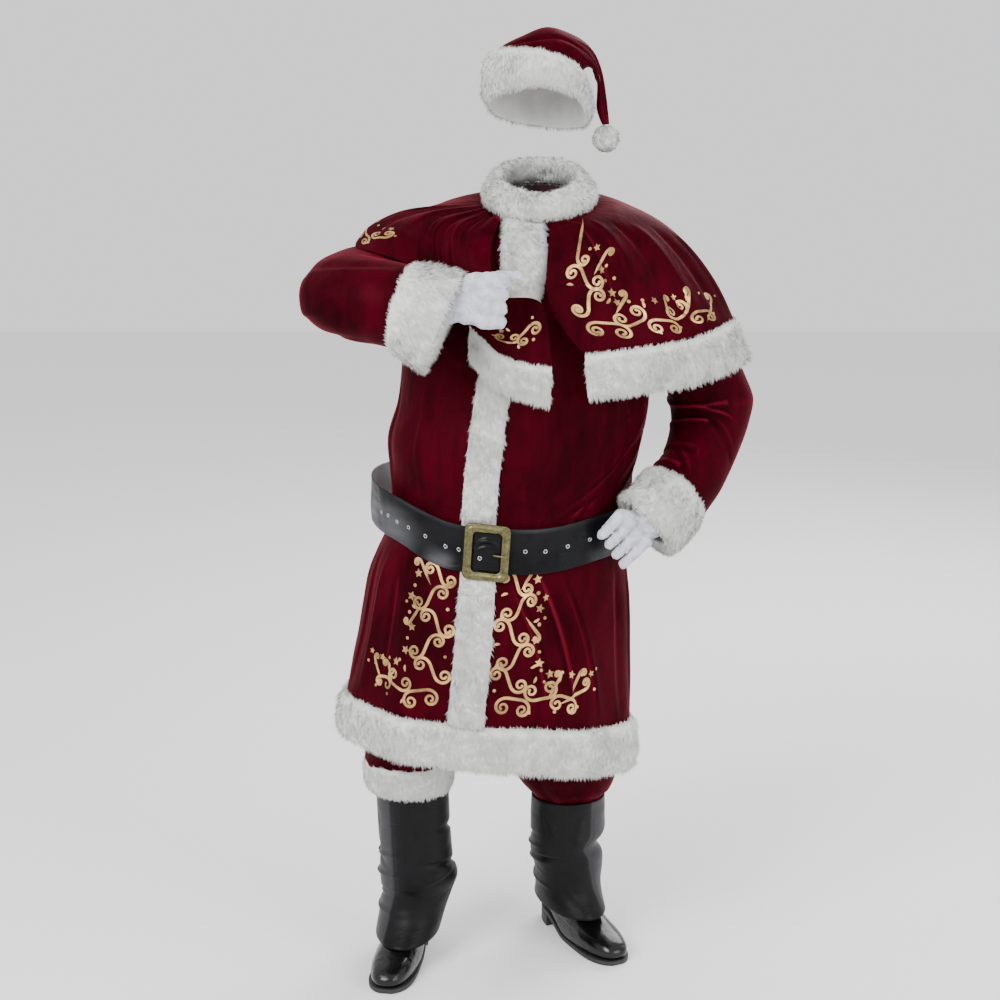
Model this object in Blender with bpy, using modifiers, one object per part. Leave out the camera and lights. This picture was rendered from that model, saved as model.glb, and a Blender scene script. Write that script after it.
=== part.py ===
"""Santa suit, kept in the form it has when it is worn: hat, caped coat, belt, gloves, trousers, boots.

Metres, +Z up. The wearer faces -Y, so the wearer's right is -X. Every table gives heights above the
floor, and place() brings them down to the origin, which is the middle of the neck opening.
"""
import math

import bmesh
import bpy
import numpy as np
from mathutils import Vector

# ---------------------------------------------------------------- driving sizes
NECK_HEIGHT = 1.600          # the neck opening above the floor
SEAM = 0.00045               # each piece stops this far short of its seam
VELVET = 0.0018              # wall of the velvet
LEATHER = 0.0022             # wall of the boot tops and uppers
PILE = 0.019                 # the fur stands this far off what it is sewn on
FLAT_PILE = 0.0035           # the fur where the belt presses it
LIFT = 0.0006                # what lies on a panel starts this far off it

COLOURS = {                  # red, green, blue, roughness, metallic
    "velvet": (0.150, 0.002, 0.014, 0.85, 0.0),
    "fur": (0.72, 0.73, 0.70, 0.95, 0.0),
    "glove": (0.78, 0.78, 0.82, 0.80, 0.0),
    "leather": (0.018, 0.018, 0.020, 0.38, 0.0),
    "sole": (0.010, 0.010, 0.010, 0.60, 0.0),
    "brass": (0.24, 0.20, 0.10, 0.42, 0.9),
}

# ---------------------------------------------------------------- tables
# The coat as rings: height, middle across, half width, half depth.
COAT = np.array([
    (1.600, 0.000, 0.088, 0.080),
    (1.588, 0.000, 0.122, 0.096),
    (1.566, 0.000, 0.162, 0.110),
    (1.528, -0.003, 0.203, 0.128),
    (1.470, -0.010, 0.216, 0.146),
    (1.400, -0.020, 0.226, 0.166),
    (1.310, -0.026, 0.238, 0.184),
    (1.216, -0.030, 0.246, 0.198),
    (1.146, -0.046, 0.250, 0.206),
    (1.086, -0.052, 0.241, 0.205),
    (1.030, -0.055, 0.234, 0.200),
    (0.965, -0.062, 0.236, 0.200),
    (0.900, -0.075, 0.251, 0.206),
    (0.809, -0.082, 0.262, 0.213),
    (0.746, -0.087, 0.267, 0.218),
    (0.683, -0.093, 0.274, 0.223),
    (0.600, -0.100, 0.283, 0.228),
    (0.500, -0.104, 0.290, 0.232),
])
COAT_SQUARENESS = 0.90       # power of the sine and cosine; 1 is an ellipse
HEM_DROP_LEFT = 0.060        # the hem hangs this much lower at the wearer's left
HEM_RISE_RIGHT = 0.016       # and this much higher at the wearer's right
NECK_DROP = 0.030            # the neck is this much lower in front
HEM_TOP = 0.622              # where the fur of the hem starts
HEM_DEPTH = 0.094

# Middle of the front opening: height, place across.
OPENING = np.array([
    (1.600, -0.037), (1.500, -0.038), (1.436, -0.044), (1.360, -0.066), (1.281, -0.086), (1.160, -0.104),
    (1.063, -0.114), (0.885, -0.121), (0.766, -0.130), (0.625, -0.143), (0.500, -0.152),
])
PLACKET_HALF = 0.038

# Armhole: middle and half its height, and how far round the body it reaches from the side.
ARMHOLE_HEIGHT = 1.420
ARMHOLE_HALF = 0.105
ARMHOLE_REACH = math.radians(34.0)

# The bent arm on the wearer's right, as rings: outer point x, y; inner point x, y; height; half height.
# The cuff goes on from the last ring of the sleeve.
RIGHT_ARM = np.array([
    (-0.2620, 0.055, -0.2130, -0.0940, 1.466, 0.0850),
    (-0.3370, 0.010, -0.2240, -0.1140, 1.460, 0.0810),
    (-0.4080, -0.055, -0.2320, -0.1300, 1.454, 0.0770),
    (-0.4460, -0.138, -0.2370, -0.1460, 1.450, 0.0770),
    (-0.4420, -0.222, -0.2395, -0.1570, 1.446, 0.0780),
    (-0.3900, -0.288, -0.2390, -0.1660, 1.443, 0.0780),
    (-0.3280, -0.316, -0.2365, -0.1715, 1.440, 0.0775),
    (-0.2720, -0.330, -0.2335, -0.1770, 1.4340, 0.0775),
    (-0.2260, -0.346, -0.1870, -0.1850, 1.4220, 0.0850),
    (-0.1880, -0.353, -0.1420, -0.1920, 1.4080, 0.0930),
])
# The arm with its hand on the hip, on the wearer's left: outer point x, z; inner point x, z; middle y; half depth.
LEFT_ARM = np.array([
    (0.260, 1.518, 0.213, 1.345, 0.012, 0.084),
    (0.322, 1.448, 0.232, 1.300, 0.018, 0.084),
    (0.360, 1.378, 0.247, 1.262, 0.026, 0.084),
    (0.380, 1.320, 0.254, 1.236, 0.031, 0.083),
    (0.408, 1.262, 0.258, 1.212, 0.034, 0.082),
    (0.426, 1.215, 0.261, 1.190, 0.034, 0.080),
    (0.416, 1.160, 0.262, 1.164, 0.026, 0.077),
    (0.390, 1.100, 0.254, 1.136, -0.004, 0.072),
    (0.352, 1.039, 0.237, 1.111, -0.050, 0.067),
    (0.304, 0.990, 0.213, 1.096, -0.102, 0.060),
    (0.277, 0.967, 0.193, 1.074, -0.132, 0.057),
    (0.248, 0.948, 0.162, 1.050, -0.148, 0.055),
])
ARMHOLE_CLEAR = {-1: 0.0030, 1: 0.0023}  # the sleeve starts this far off the coat, right and left
CUFF_RINGS = 3               # the last rings of each arm are its cuff's

# The capelet, as threads from the collar over the shoulder to the hem, counted round from its left front
# edge: thread, collar angle in degrees (0 in front, 90 on the wearer's left), the shoulder that it turns
# over (x, y, height), the hem (x, y, height).
CAPE = np.array([
    (0, 12, 0.012, -0.176, 1.562, 0.000, -0.236, 1.262),
    (14, 24, 0.066, -0.178, 1.574, 0.088, -0.232, 1.262),
    (34, 38, 0.140, -0.172, 1.586, 0.186, -0.214, 1.270),
    (54, 56, 0.222, -0.135, 1.597, 0.290, -0.164, 1.277),
    (74, 76, 0.282, -0.068, 1.604, 0.368, -0.084, 1.291),
    (90, 90, 0.302, 0.000, 1.606, 0.405, -0.002, 1.300),
    (108, 106, 0.280, 0.085, 1.608, 0.394, 0.098, 1.290),
    (132, 130, 0.200, 0.160, 1.608, 0.292, 0.184, 1.276),
    (156, 154, 0.090, 0.195, 1.606, 0.140, 0.236, 1.268),
    (180, 180, 0.000, 0.200, 1.604, -0.020, 0.250, 1.268),
    (204, 206, -0.095, 0.195, 1.606, -0.160, 0.238, 1.276),
    (226, 228, -0.190, 0.160, 1.612, -0.275, 0.196, 1.318),
    (248, 250, -0.262, 0.100, 1.618, -0.354, 0.120, 1.400),
    (262, 263, -0.268, 0.040, 1.608, -0.372, 0.030, 1.490),
    (270, 270, -0.256, -0.012, 1.602, -0.364, -0.060, 1.535),
])
CAPE_LAST = 270.0            # the thread where the back meets the held front
CAPE_HEM_DEPTH = 0.080
GATHERS = 9                  # soft folds over each front of the capelet

# The front of the capelet that the right hand holds: threads from the collar down, x, y and height at five stops.
HELD_FRONT = np.array([
    [(-0.079, -0.088, 1.577), (-0.092, -0.150, 1.520), (-0.078, -0.208, 1.452), (-0.014, -0.232, 1.437),
     (0.020, -0.250, 1.324)],
    [(-0.088, -0.078, 1.582), (-0.116, -0.148, 1.529), (-0.104, -0.198, 1.440), (-0.056, -0.226, 1.405),
     (-0.020, -0.243, 1.327)],
    [(-0.094, -0.064, 1.579), (-0.140, -0.142, 1.541), (-0.132, -0.180, 1.432), (-0.096, -0.204, 1.394),
     (-0.070, -0.226, 1.340)],
    [(-0.098, -0.048, 1.586), (-0.164, -0.130, 1.552), (-0.160, -0.160, 1.440), (-0.140, -0.178, 1.404),
     (-0.116, -0.200, 1.376)],
    [(-0.100, -0.034, 1.591), (-0.184, -0.114, 1.566), (-0.194, -0.146, 1.510), (-0.196, -0.152, 1.478),
     (-0.194, -0.156, 1.446)],
    [(-0.101, -0.022, 1.5948), (-0.190, -0.094, 1.580), (-0.220, -0.134, 1.556), (-0.232, -0.162, 1.538),
     (-0.238, -0.184, 1.510)],
    [(-0.101, -0.012, 1.5978), (-0.198, -0.068, 1.590), (-0.254, -0.112, 1.573), (-0.286, -0.142, 1.555),
     (-0.308, -0.168, 1.529)],
    [(-0.1010, -0.004, 1.6008), (-0.200, -0.038, 1.594), (-0.272, -0.066, 1.585), (-0.322, -0.092, 1.561),
     (-0.346, -0.122, 1.533)],
])
CORNER_THREADS = 3.0         # the fur hangs from these first threads only

# Hat. Round the head: direction (0 in front, 90 on the wearer's left), height of the brim's lower and upper edge.
BRIM = np.array([
    (0, 1.828, 1.892), (45, 1.806, 1.868), (90, 1.756, 1.822), (135, 1.738, 1.816),
    (180, 1.742, 1.830), (225, 1.758, 1.858), (270, 1.786, 1.880), (315, 1.812, 1.893), (360, 1.828, 1.892),
])
BRIM_MIDDLE = (-0.0035, 0.004)
BRIM_HALF = (0.0885, 0.099)  # half width and half depth inside the brim
BRIM_PILE = 0.018
# The bag of the hat, as rings: upper point x, height; lower point x, height; middle y; half depth.
HAT_BAG = np.array([
    (-0.0908, 1.856, 0.0838, 1.806, 0.004, 0.0977),
    (-0.0845, 1.882, 0.0800, 1.824, 0.004, 0.0900),
    (-0.0700, 1.897, 0.0800, 1.846, 0.005, 0.0820),
    (-0.0350, 1.914, 0.0900, 1.856, 0.007, 0.0740),
    (0.0120, 1.931, 0.0980, 1.854, 0.010, 0.0630),
    (0.0560, 1.920, 0.1040, 1.848, 0.013, 0.0500),
    (0.0920, 1.898, 0.1080, 1.836, 0.016, 0.0380),
    (0.1110, 1.866, 0.1100, 1.822, 0.018, 0.0280),
    (0.1220, 1.830, 0.1095, 1.802, 0.020, 0.0220),
    (0.1290, 1.789, 0.1090, 1.780, 0.020, 0.0170),
    (0.1325, 1.766, 0.1140, 1.762, 0.020, 0.0120),
    (0.1340, 1.7490, 0.1200, 1.7485, 0.020, 0.0080),
])
POMPOM = (0.1275, 0.020, 1.7218)
POMPOM_RADIUS = 0.0265

# Trouser legs: height, middle x, middle y, half width, half depth.
RIGHT_LEG = np.array([
    (0.790, -0.185, 0.000, 0.092, 0.125), (0.640, -0.222, 0.000, 0.100, 0.110),
    (0.520, -0.252, -0.005, 0.100, 0.098), (0.470, -0.2600, -0.005, 0.090, 0.092),
])
LEFT_LEG = np.array([
    (0.790, 0.020, 0.008, 0.092, 0.125), (0.640, 0.044, 0.020, 0.106, 0.112),
    (0.500, 0.046, 0.050, 0.108, 0.106), (0.440, 0.053, 0.066, 0.110, 0.100),
    (0.405, 0.0640, 0.076, 0.0900, 0.0820), (0.375, 0.0670, 0.080, 0.0660, 0.0670),
    (0.345, 0.0670, 0.084, 0.0640, 0.0650),
])
HIPS = np.array([            # height, middle x, half width, half depth
    (1.040, -0.0550, 0.2300, 0.1955), (1.000, -0.0555, 0.2300, 0.1955), (0.900, -0.0735, 0.2310, 0.1900),
    (0.790, -0.0820, 0.2060, 0.1720),
])
CROTCH = 0.740
KNEE_CUFF = np.array([       # height, middle x, middle y, half width, half depth
    (0.4874, -0.2580, -0.005, 0.1015, 0.1020), (0.446, -0.2605, -0.004, 0.0950, 0.0960),
    (0.412, -0.2600, -0.002, 0.0935, 0.0940),
])

# Boot tops: height, middle x, middle y, half width, half depth.
RIGHT_SHAFT = np.array([
    (0.432, -0.2560, -0.002, 0.0750, 0.0750), (0.380, -0.2545, 0.010, 0.0745, 0.0770),
    (0.300, -0.2520, 0.026, 0.0750, 0.0770), (0.240, -0.2490, 0.038, 0.0770, 0.0770),
    (0.205, -0.2450, 0.046, 0.0810, 0.0780), (0.175, -0.2490, 0.054, 0.0760, 0.0780),
    (0.130, -0.2580, 0.058, 0.0700, 0.0930), (0.088, -0.2680, 0.044, 0.0668, 0.1190),
])
LEFT_SHAFT = np.array([
    (0.3692, 0.0670, 0.080, 0.0767, 0.0767), (0.320, 0.0670, 0.094, 0.0780, 0.0770),
    (0.275, 0.0660, 0.108, 0.0770, 0.0760), (0.248, 0.0590, 0.116, 0.0690, 0.0740),
    (0.225, 0.0650, 0.124, 0.0760, 0.0760), (0.195, 0.0700, 0.134, 0.0730, 0.0790),
    (0.150, 0.0700, 0.148, 0.0690, 0.0940), (0.106, 0.0740, 0.144, 0.0660, 0.1200),
])
# Shoe upper as rings: back and toe along the foot from the heel, half width, height at the back and at the toe.
SHOE = np.array([
    (0.004, 0.298, 0.050, 0.000, 0.000), (0.000, 0.305, 0.053, 0.010, 0.010),
    (0.001, 0.302, 0.053, 0.020, 0.022), (0.004, 0.285, 0.049, 0.036, 0.034),
    (0.010, 0.240, 0.042, 0.052, 0.048), (0.016, 0.195, 0.037, 0.064, 0.062),
    (0.022, 0.160, 0.032, 0.074, 0.072),
])
SHOE_POINTS = 20             # points round a ring of the upper
SHOE_SIDE = {                # heel x, heel y, turn of the toe in degrees (towards -X is negative)
    "right": (-0.2560, 0.160, -10.0),
    "left": (0.0300, 0.262, 28.0),
}
FLOOR = 0.020                # the lowest point of the soles
SOLE = 0.009
HEEL = 0.024

# ---------------------------------------------------------------- helpers


def smooth(table, at, column=None):
    """Read a table between its rows with a cubic that follows the rows' own slopes."""
    table = np.asarray(table, float)
    order = np.argsort(table[:, 0])
    keys = table[order, 0]
    values = table[order, 1:] if column is None else table[order, column]
    at = np.clip(np.asarray(at, float), keys[0], keys[-1])
    slopes = np.gradient(values, keys, axis=0)
    row = np.clip(np.searchsorted(keys, at, side="right") - 1, 0, len(keys) - 2)
    step = keys[row + 1] - keys[row]
    t = (at - keys[row]) / step
    if values.ndim > 1:
        t, step = t[..., None], step[..., None]
    return ((2 * t**3 - 3 * t**2 + 1) * values[row] + (t**3 - 2 * t**2 + t) * step * slopes[row]
            + (-2 * t**3 + 3 * t**2) * values[row + 1] + (t**3 - t**2) * step * slopes[row + 1])


def through(rows, count):
    """Resample a stack of rows to `count` rows, evenly along the table."""
    rows = np.asarray(rows, float)
    keys = np.linspace(0.0, 1.0, len(rows))
    flat = rows.reshape(len(rows), -1)
    table = np.column_stack([keys, flat])
    return smooth(table, np.linspace(0.0, 1.0, count)).reshape((count,) + rows.shape[1:])


def power(value, exponent):
    """Signed power, for the squarer-than-round rings."""
    return np.sign(value) * np.abs(value) ** exponent


def unit(vectors):
    """Vectors of length one."""
    return vectors / np.maximum(np.linalg.norm(vectors, axis=-1, keepdims=True), 1e-9)


def normals(grid, closed=False):
    """Outward normals of a grid of points, away from the middle of each row."""
    down = np.gradient(grid, axis=0)
    if closed:
        along = (np.roll(grid, -1, axis=1) - np.roll(grid, 1, axis=1)) / 2
    else:
        along = np.gradient(grid, axis=1)
    out = unit(np.cross(down, along))
    away = grid - grid.mean(axis=1, keepdims=True)
    return out if np.sum(out * away) > 0 else -out


def place(points):
    """From heights above the floor to the part's own frame."""
    return np.asarray(points, float) - np.array([0.0, 0.0, NECK_HEIGHT])


def paint(item, colour):
    """Give a piece its own plain material."""
    red, green, blue, rough, metal = COLOURS[colour]
    material = bpy.data.materials.new(item.name)
    material.use_nodes = True
    shader = material.node_tree.nodes["Principled BSDF"]
    shader.inputs["Base Color"].default_value = (red, green, blue, 1.0)
    shader.inputs["Roughness"].default_value = rough
    shader.inputs["Metallic"].default_value = metal
    material.diffuse_color = (red, green, blue, 1.0)
    item.data.materials.clear()
    item.data.materials.append(material)
    return item


def add_mesh(name, points, faces, colour):
    """One named piece in the suit's collection."""
    mesh = bpy.data.meshes.new(name)
    mesh.from_pydata([tuple(p) for p in place(points)], [], faces)
    mesh.update()
    item = bpy.data.objects.new(name, mesh)
    SUIT.objects.link(item)
    return paint(item, colour)


def grid_faces(rows, columns, closed, start=0, flip=False):
    """Quads over a grid of points, wrapped round when it is closed."""
    faces = []
    for r in range(rows - 1):
        for c in range(columns if closed else columns - 1):
            d = (c + 1) % columns
            quad = [start + r * columns + c, start + r * columns + d,
                    start + (r + 1) * columns + d, start + (r + 1) * columns + c]
            faces.append(quad[::-1] if flip else quad)
    return faces


def outward(grid, closed):
    """True when the grid's own quads already face away from its middle."""
    down = np.gradient(grid, axis=0)
    along = (np.roll(grid, -1, axis=1) - grid) if closed else np.gradient(grid, axis=1)
    away = grid - grid.mean(axis=1, keepdims=True)
    return np.sum(np.cross(along, down) * away) > 0


def cloth(name, grid, wall, colour, closed=False):
    """An open sheet of cloth with a wall on its inner side."""
    rows, columns = grid.shape[:2]
    faces = grid_faces(rows, columns, closed, flip=not outward(grid, closed))
    item = add_mesh(name, grid.reshape(-1, 3), faces, colour)
    solid = item.modifiers.new("wall", "SOLIDIFY")
    solid.thickness = wall
    solid.offset = -1.0
    solid.use_even_offset = False
    return item


def pelt(name, inner, outer, colour="fur", closed=False):
    """A closed slab between two grids of the same size, for the thick fur."""
    rows, columns = inner.shape[:2]
    size = rows * columns
    faces = grid_faces(rows, columns, closed) + grid_faces(rows, columns, closed, start=size, flip=True)
    for r in (0, rows - 1):
        for c in range(columns if closed else columns - 1):
            d = (c + 1) % columns
            faces.append([r * columns + d, r * columns + c, size + r * columns + c, size + r * columns + d])
    if not closed:
        for c in (0, columns - 1):
            for r in range(rows - 1):
                faces.append([r * columns + c, size + r * columns + c,
                              size + (r + 1) * columns + c, (r + 1) * columns + c])
    points = np.concatenate([outer.reshape(-1, 3), inner.reshape(-1, 3)])
    return face_out(add_mesh(name, points, faces, colour))


def crown(rows, columns, closed, low=0.35):
    """How full the pile is over a slab: low at its cut edges, one in the middle."""
    down = np.sin(np.pi * np.linspace(0.0, 1.0, rows)) ** 0.45
    fill = low + (1 - low) * down
    if closed:
        return np.repeat(fill[:, None], columns, axis=1)
    across = low + (1 - low) * np.sin(np.pi * np.linspace(0.0, 1.0, columns)) ** 0.45
    return np.minimum(fill[:, None], across[None, :])


# ---------------------------------------------------------------- the coat's surface


def coat_drop(theta, height):
    """The hem hangs lower at the wearer's left and higher at the right, and the neck is lower in front."""
    share = np.clip((1.0 - height) / 0.45, 0.0, 1.0) ** 1.5
    neck = np.clip((height - 1.50) / 0.10, 0.0, 1.0)
    sideways = np.sin(theta)
    hem = HEM_DROP_LEFT * ((1 + sideways) / 2) ** 3 - HEM_RISE_RIGHT * ((1 - sideways) / 2) ** 3
    return hem * share + NECK_DROP * neck * (1 + np.cos(theta)) / 2


def coat(theta, height, out=0.0):
    """A point of the coat: theta round the body (0 in front, 90 degrees on the wearer's left)."""
    theta, height = np.broadcast_arrays(np.asarray(theta, float), np.asarray(height, float))
    middle, half_width, half_depth = np.moveaxis(smooth(COAT, height), -1, 0)
    x = middle + (half_width + out) * power(np.sin(theta), COAT_SQUARENESS)
    y = -(half_depth + out) * power(np.cos(theta), COAT_SQUARENESS)
    folds = coat_folds(theta, height)
    x = x + folds * np.sin(theta)
    y = y - folds * np.cos(theta)
    return np.stack([x, y, height - coat_drop(theta, height)], axis=-1)


def coat_folds(theta, height):
    """Soft vertical folds of the skirt, shallow in front and deeper at the back, none at the belt."""
    share = np.clip((0.93 - height) / 0.30, 0.0, 1.0)
    back = 0.5 - 0.5 * np.cos(theta)
    return share * (0.004 + 0.006 * back) * np.cos(9 * theta + 1.2 * np.sin(2 * theta))


def opening_angle(height):
    """Where round the body the front opening is at each height."""
    height = np.asarray(height, float)
    middle, half_width, _ = np.moveaxis(smooth(COAT, height), -1, 0)
    ratio = np.clip((smooth(OPENING, height, 1) - middle) / half_width, -0.95, 0.95)
    return np.arcsin(power(ratio, 1 / COAT_SQUARENESS))


def armhole_reach(height):
    """How far from the side the armhole has cut a panel back at each height."""
    inside = 1 - ((np.asarray(height, float) - ARMHOLE_HEIGHT) / ARMHOLE_HALF) ** 2
    return ARMHOLE_REACH * np.sqrt(np.clip(inside, 0.0, 1.0))


def coat_panel(name, start, end, heights, columns):
    """A panel of the coat between two edges, each a function of height that gives an angle."""
    share = np.linspace(0.0, 1.0, columns)
    rows = []
    for height in heights:
        first, last = start(height), end(height)
        gap = SEAM / smooth(COAT, height)[1]
        rows.append(coat(first + gap + share * (last - first - 2 * gap), height))
    return cloth(name, np.array(rows), VELVET, "velvet")


COAT_HEIGHTS = np.concatenate([
    [1.600, 1.588, 1.566], np.linspace(ARMHOLE_HEIGHT + ARMHOLE_HALF, ARMHOLE_HEIGHT - ARMHOLE_HALF, 7),
    [1.240, 1.160, 1.086, 1.020, 0.965, 0.900, 0.809, 0.715, HEM_TOP + SEAM],
])
PLACKET_FLAT = (1.0300, 0.8800)  # between these heights the belt and its buckle press the fur flat


def make_coat():
    """Two fronts and a back, cut away for the arms and meeting at the front opening."""
    side = math.radians(90.0)
    coat_panel("coat_front_right", lambda z: -side + armhole_reach(z), opening_angle, COAT_HEIGHTS, 8)
    coat_panel("coat_front_left", opening_angle, lambda z: side - armhole_reach(z), COAT_HEIGHTS, 10)
    coat_panel("coat_back", lambda z: side + armhole_reach(z), lambda z: 3 * side - armhole_reach(z),
               COAT_HEIGHTS, 14)


def make_placket():
    """The fur strip down the opening, in the stretches that the belt parts."""
    upper, lower = PLACKET_FLAT
    stretches = {
        "coat_placket_upper": (1.598, upper, PILE),
        "coat_placket_belted": (upper - 2 * SEAM, lower, FLAT_PILE),
        "coat_placket_lower": (lower - 2 * SEAM, HEM_TOP + 0.002, PILE * 0.9),
    }
    for name, (first, last, pile) in stretches.items():
        between = COAT_HEIGHTS[(COAT_HEIGHTS < first - 0.004) & (COAT_HEIGHTS > last + 0.004)]
        rows = []
        for height in np.concatenate([[first], between, [last]]):
            spread = PLACKET_HALF / smooth(COAT, height)[1]
            rows.append(coat(opening_angle(height) + np.linspace(-spread, spread, 6), height))
        base = np.array(rows)
        away = normals(base)
        inner = base + away * LIFT * 2
        full = crown(len(rows), 6, False, low=0.35) if pile > FLAT_PILE else np.ones((len(rows), 6))
        pelt(name, inner, inner + away * (pile * full)[..., None])


def make_hem():
    """The fur band round the bottom of the coat, which carries on below the velvet."""
    around = np.radians(np.arange(0, 360, 10.0))
    heights = np.linspace(HEM_TOP - SEAM, HEM_TOP - HEM_DEPTH, 5)
    base = coat(around[None, :], heights[:, None])
    away = normals(base, closed=True)
    inner = base - away * VELVET
    outer = inner + away * (PILE * 1.15 * crown(5, len(around), True))[..., None]
    pelt("coat_hem_fur", inner, outer, closed=True)


# ---------------------------------------------------------------- sleeves, cuffs and gloves


def right_arm(rows, count, grow=0.0):
    """Rings round the bent arm, square to its run."""
    outer = np.stack([rows[:, 0], rows[:, 1], rows[:, 4]], axis=-1)
    inner = np.stack([rows[:, 2], rows[:, 3], rows[:, 4]], axis=-1)
    middle = (outer + inner) / 2
    across = unit(inner - outer) * (np.linalg.norm(inner - outer, axis=-1, keepdims=True) / 2 + grow)
    up = unit(np.cross(np.gradient(middle, axis=0), across)) * (rows[:, 5:6] + grow)
    return rings_round(middle, up, across, count)


def left_arm(rows, count, grow=0.0):
    """Rings round the arm with its hand on the hip, square to its run."""
    outer = np.stack([rows[:, 0], rows[:, 4], rows[:, 1]], axis=-1)
    inner = np.stack([rows[:, 2], rows[:, 4], rows[:, 3]], axis=-1)
    middle = (outer + inner) / 2
    up = unit(outer - inner) * (np.linalg.norm(outer - inner, axis=-1, keepdims=True) / 2 + grow)
    forward = unit(np.cross(np.gradient(middle, axis=0), up)) * (rows[:, 5:6] + grow)
    return rings_round(middle, up, forward, count)


def rings_round(middle, first, second, count):
    """Ellipses about each middle through the ends of two half axes."""
    turn = np.radians(np.arange(count) * 360.0 / count)[None, :, None]
    return middle[:, None] + np.cos(turn) * first[:, None] + np.sin(turn) * second[:, None]


def armhole_ring(side, count, off):
    """The edge of the armhole, moved out along the arm so that the sleeve stands clear of it."""
    turn = np.radians(np.arange(count) * 360.0 / count)
    height = ARMHOLE_HEIGHT + (ARMHOLE_HALF - 0.001) * np.cos(turn)
    reach = ARMHOLE_REACH * np.sin(turn)
    theta = side * (math.radians(90.0) - reach)
    ring = coat(theta, height)
    ring[:, 0] += side * off
    return ring


def make_sleeve(name, side, rows, arm, count=14):
    """From the armhole through the arm's rings to the cuff's seam."""
    rings = arm(rows, count)[:len(rows) - CUFF_RINGS + 1]
    cloth(name, np.concatenate([armhole_ring(side, count, ARMHOLE_CLEAR[side])[None], rings]), VELVET, "velvet", closed=True)


def make_cuff(name, rows, arm, count=14):
    """A thick fur tube that goes on from the sleeve."""
    grids = []
    for grow in (-VELVET - PILE * 0.30, -VELVET):
        grids.append(through(arm(rows, count, grow)[-CUFF_RINGS:], 5))
    inner, outer = grids
    onward = unit((outer[1] - outer[0]).mean(axis=0))
    away = normals(outer, closed=True)
    away[0] = unit(away[0] - (away[0] @ onward)[:, None] * onward)
    outer = outer + away * (PILE * 0.75 * crown(5, count, True, low=0.3))[..., None]
    inner[0] += onward * SEAM * 2
    outer[0] += onward * SEAM * 2
    pelt(name, inner, outer, closed=True)


def capsule_mesh(mesh, start, end, radius_a, radius_b, squash=(1.0, 1.0, 1.0)):
    """A round-ended limb between two points, added to a bmesh."""
    start, end = Vector(start), Vector(end)
    axis = (end - start)
    steps = max(2, int(axis.length / (min(radius_a, radius_b) * 0.45)) + 1)
    for i in range(steps + 1):
        t = i / steps
        made = bmesh.ops.create_icosphere(mesh, subdivisions=2, radius=radius_a + t * (radius_b - radius_a))
        for vertex in made["verts"]:
            vertex.co = Vector([vertex.co[k] * squash[k] for k in range(3)]) + start + axis * t


GLOVE_KEEP = 0.065           # share of the faces that a glove keeps
ROUND = (1.0, 1.0, 1.0)


def make_glove(name, limbs, mouth, mouth_way, voxel, thickness=0.003):
    """A hollow glove: an outer skin over the hand's limbs, less the same limbs a wall thinner."""
    skins = []
    for label, less in (("outer", 0.0), ("inner", thickness)):
        mesh = bmesh.new()
        for start, end, radius_a, radius_b, squash in limbs:
            capsule_mesh(mesh, start, end, radius_a - less, radius_b - less, squash)
        if less:
            first = limbs[0]
            beyond = Vector(first[0]) + (Vector(first[0]) - Vector(first[1])).normalized() * 0.05
            capsule_mesh(mesh, beyond, first[1], first[2] - less, first[3] - less, first[4])
        data = bpy.data.meshes.new(name + "_" + label)
        mesh.to_mesh(data)
        mesh.free()
        item = bpy.data.objects.new(name + "_" + label, data)
        CUTTERS.objects.link(item)
        remesh = item.modifiers.new("skin", "REMESH")
        remesh.mode = "VOXEL"
        remesh.voxel_size = voxel
        thin = item.modifiers.new("fewer", "DECIMATE")
        thin.ratio = GLOVE_KEEP
        item.hide_render = True
        skins.append(item)
    hand = skins[0]
    graph = bpy.context.evaluated_depsgraph_get()
    outer = bpy.data.meshes.new_from_object(hand.evaluated_get(graph))
    item = bpy.data.objects.new(name, outer)
    SUIT.objects.link(item)
    item.location = (0.0, 0.0, -NECK_HEIGHT)
    skins[1].location = (0.0, 0.0, -NECK_HEIGHT)
    hollow = item.modifiers.new("hollow", "BOOLEAN")
    hollow.operation = "DIFFERENCE"
    hollow.solver = "EXACT"
    hollow.object = skins[1]
    cutter = cut_box(name + "_mouth", mouth, mouth_way)
    opening = item.modifiers.new("mouth", "BOOLEAN")
    opening.operation = "DIFFERENCE"
    opening.solver = "EXACT"
    opening.object = cutter
    bpy.data.objects.remove(hand)
    return paint(item, "glove")


def cut_box(name, point, way):
    """A cutter that takes away everything behind a point."""
    way = Vector(way).normalized()
    mesh = bmesh.new()
    bmesh.ops.create_cube(mesh, size=0.2)
    data = bpy.data.meshes.new(name)
    mesh.to_mesh(data)
    mesh.free()
    item = bpy.data.objects.new(name, data)
    CUTTERS.objects.link(item)
    item.rotation_euler = way.to_track_quat("Z", "Y").to_euler()
    item.location = Vector(point) + way * 0.1 - Vector((0.0, 0.0, NECK_HEIGHT))
    item.hide_render = True
    return item




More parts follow.
